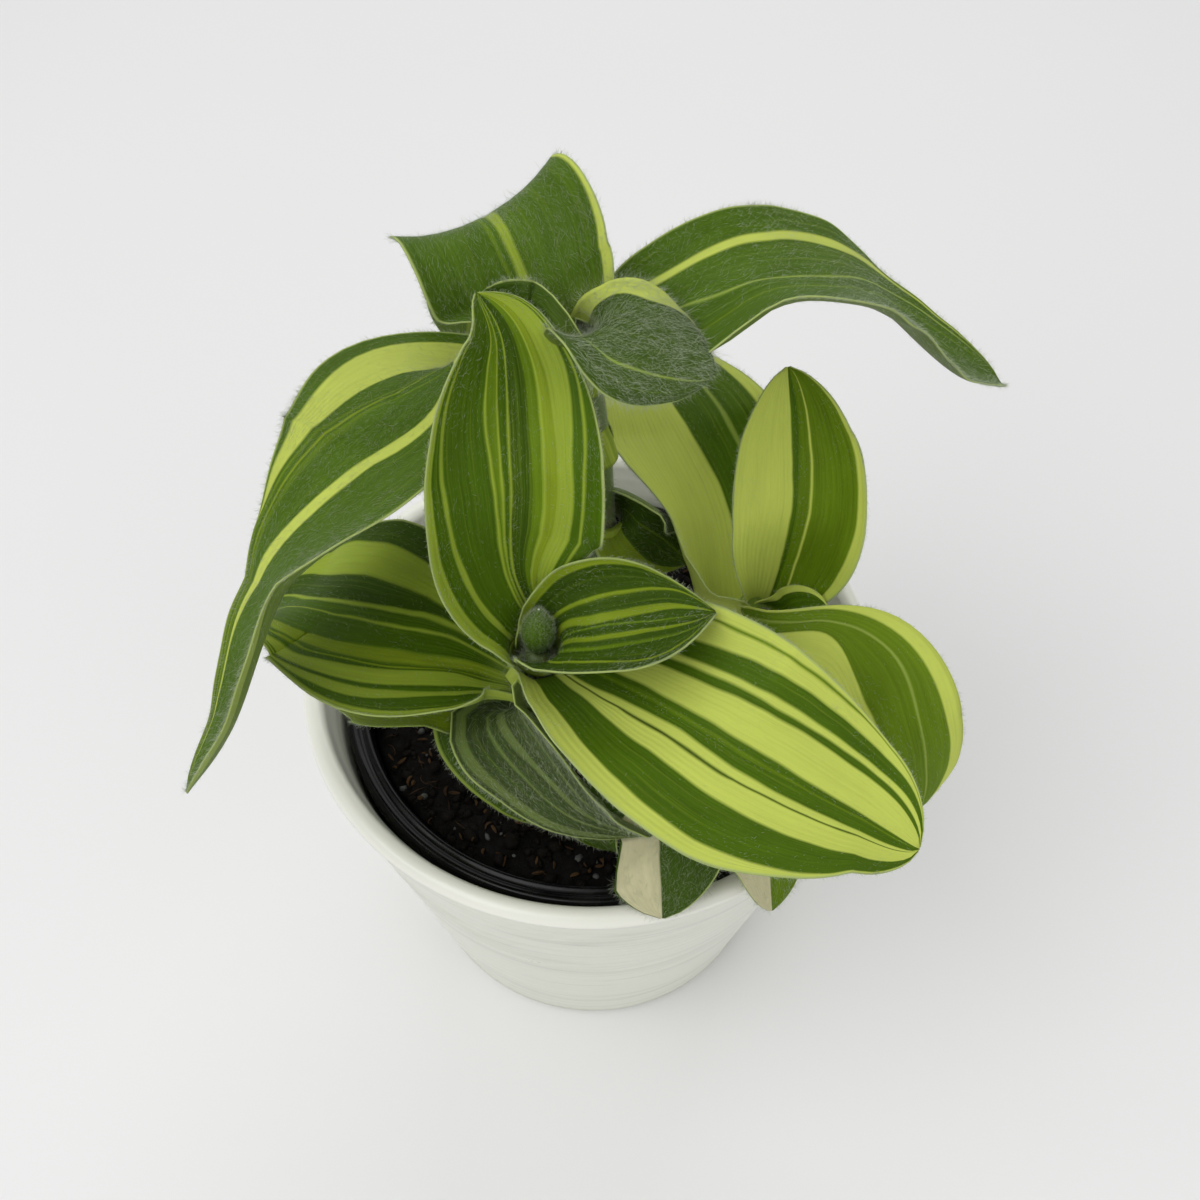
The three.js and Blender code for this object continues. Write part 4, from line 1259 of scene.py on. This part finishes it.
def area_light(name, place, aim_height, size, power):
    data = bpy.data.lights.new(name, "AREA")
    data.shape, data.size, data.energy = "SQUARE", size, power
    made = bpy.data.objects.new(name, data)
    made.location = place
    made.rotation_euler = (Vector(place) - Vector((0, 0, aim_height))).to_track_quat("Z", "Y").to_euler()
    bpy.context.scene.collection.objects.link(made)


def make_stage():
    s = Shader("pale_floor")
    noise = s.noise(s.place(), 3, 2)
    material = s.done(s.mix(noise, (0.86, 0.86, 0.86, 1), (0.9, 0.9, 0.9, 1)), 0.8)
    corners = np.array([[-1, -1, 0], [1, -1, 0], [1, 1, 0], [-1, 1, 0]]) * 6000.0
    floor = new_object("floor", corners, [np.array([[0, 1, 2, 3]])], material, shade=False)
    world = bpy.data.worlds.new("soft_light")
    world.use_nodes = True
    inputs = world.node_tree.nodes["Background"].inputs
    inputs["Color"].default_value, inputs["Strength"].default_value = (1, 1, 1, 1), 0.5
    bpy.context.scene.world = world
    area_light("key", (-0.5, -0.35, 1.0), 0.1, 0.8, 5.2)
    area_light("fill", (0.7, -0.5, 0.6), 0.1, 0.8, 1.2)
    area_light("back", (0.1, 0.8, 0.9), 0.12, 0.9, 2.6)
    bpy.context.scene.view_settings.view_transform = "Standard"


make_camera()
make_stage()

random = np.random.default_rng(SEED)
hair = hair_material()
blades = {name: Leaf(name) for name in LEAVES}
for upper, lowers in UNDER.items():
    for lower in lowers.split():
        lay_under(blades[upper], blades[lower])
for name, blade in blades.items():
    veins = 0.15 if "rim" in name else 0.42
    make_leaf(blade, random, leaf_material("skin_" + name, blade.leaf["fur"][2], 0.52, veins))
    make_hairs(blade, random, hair)
stem_skin = stem_material()
for name in STEMS:
    make_stem(name, random, stem_skin, hair)
make_bud(random, leaf_material("skin_bud", 0.15, 0.5), hair)
make_tuft("felt_front", "front", 1500, 2.0, random, hair)
make_tuft("felt_tall", "tall", 1100, 2.2, random, hair)
make_cover(glaze_material())
make_nursery(plastic_material())
make_soil(
    random,
    soil_material("dark_soil", (3, 3, 2), (16, 13, 10), 0.6),
    soil_material("soil_lump", (4, 4, 3), (26, 21, 15), 0.5),
    soil_material("brown_fibre", (32, 23, 14), (92, 68, 42), 0.6),
    soil_material("grey_grit", (52, 54, 52), (112, 114, 108), 0.4),
)
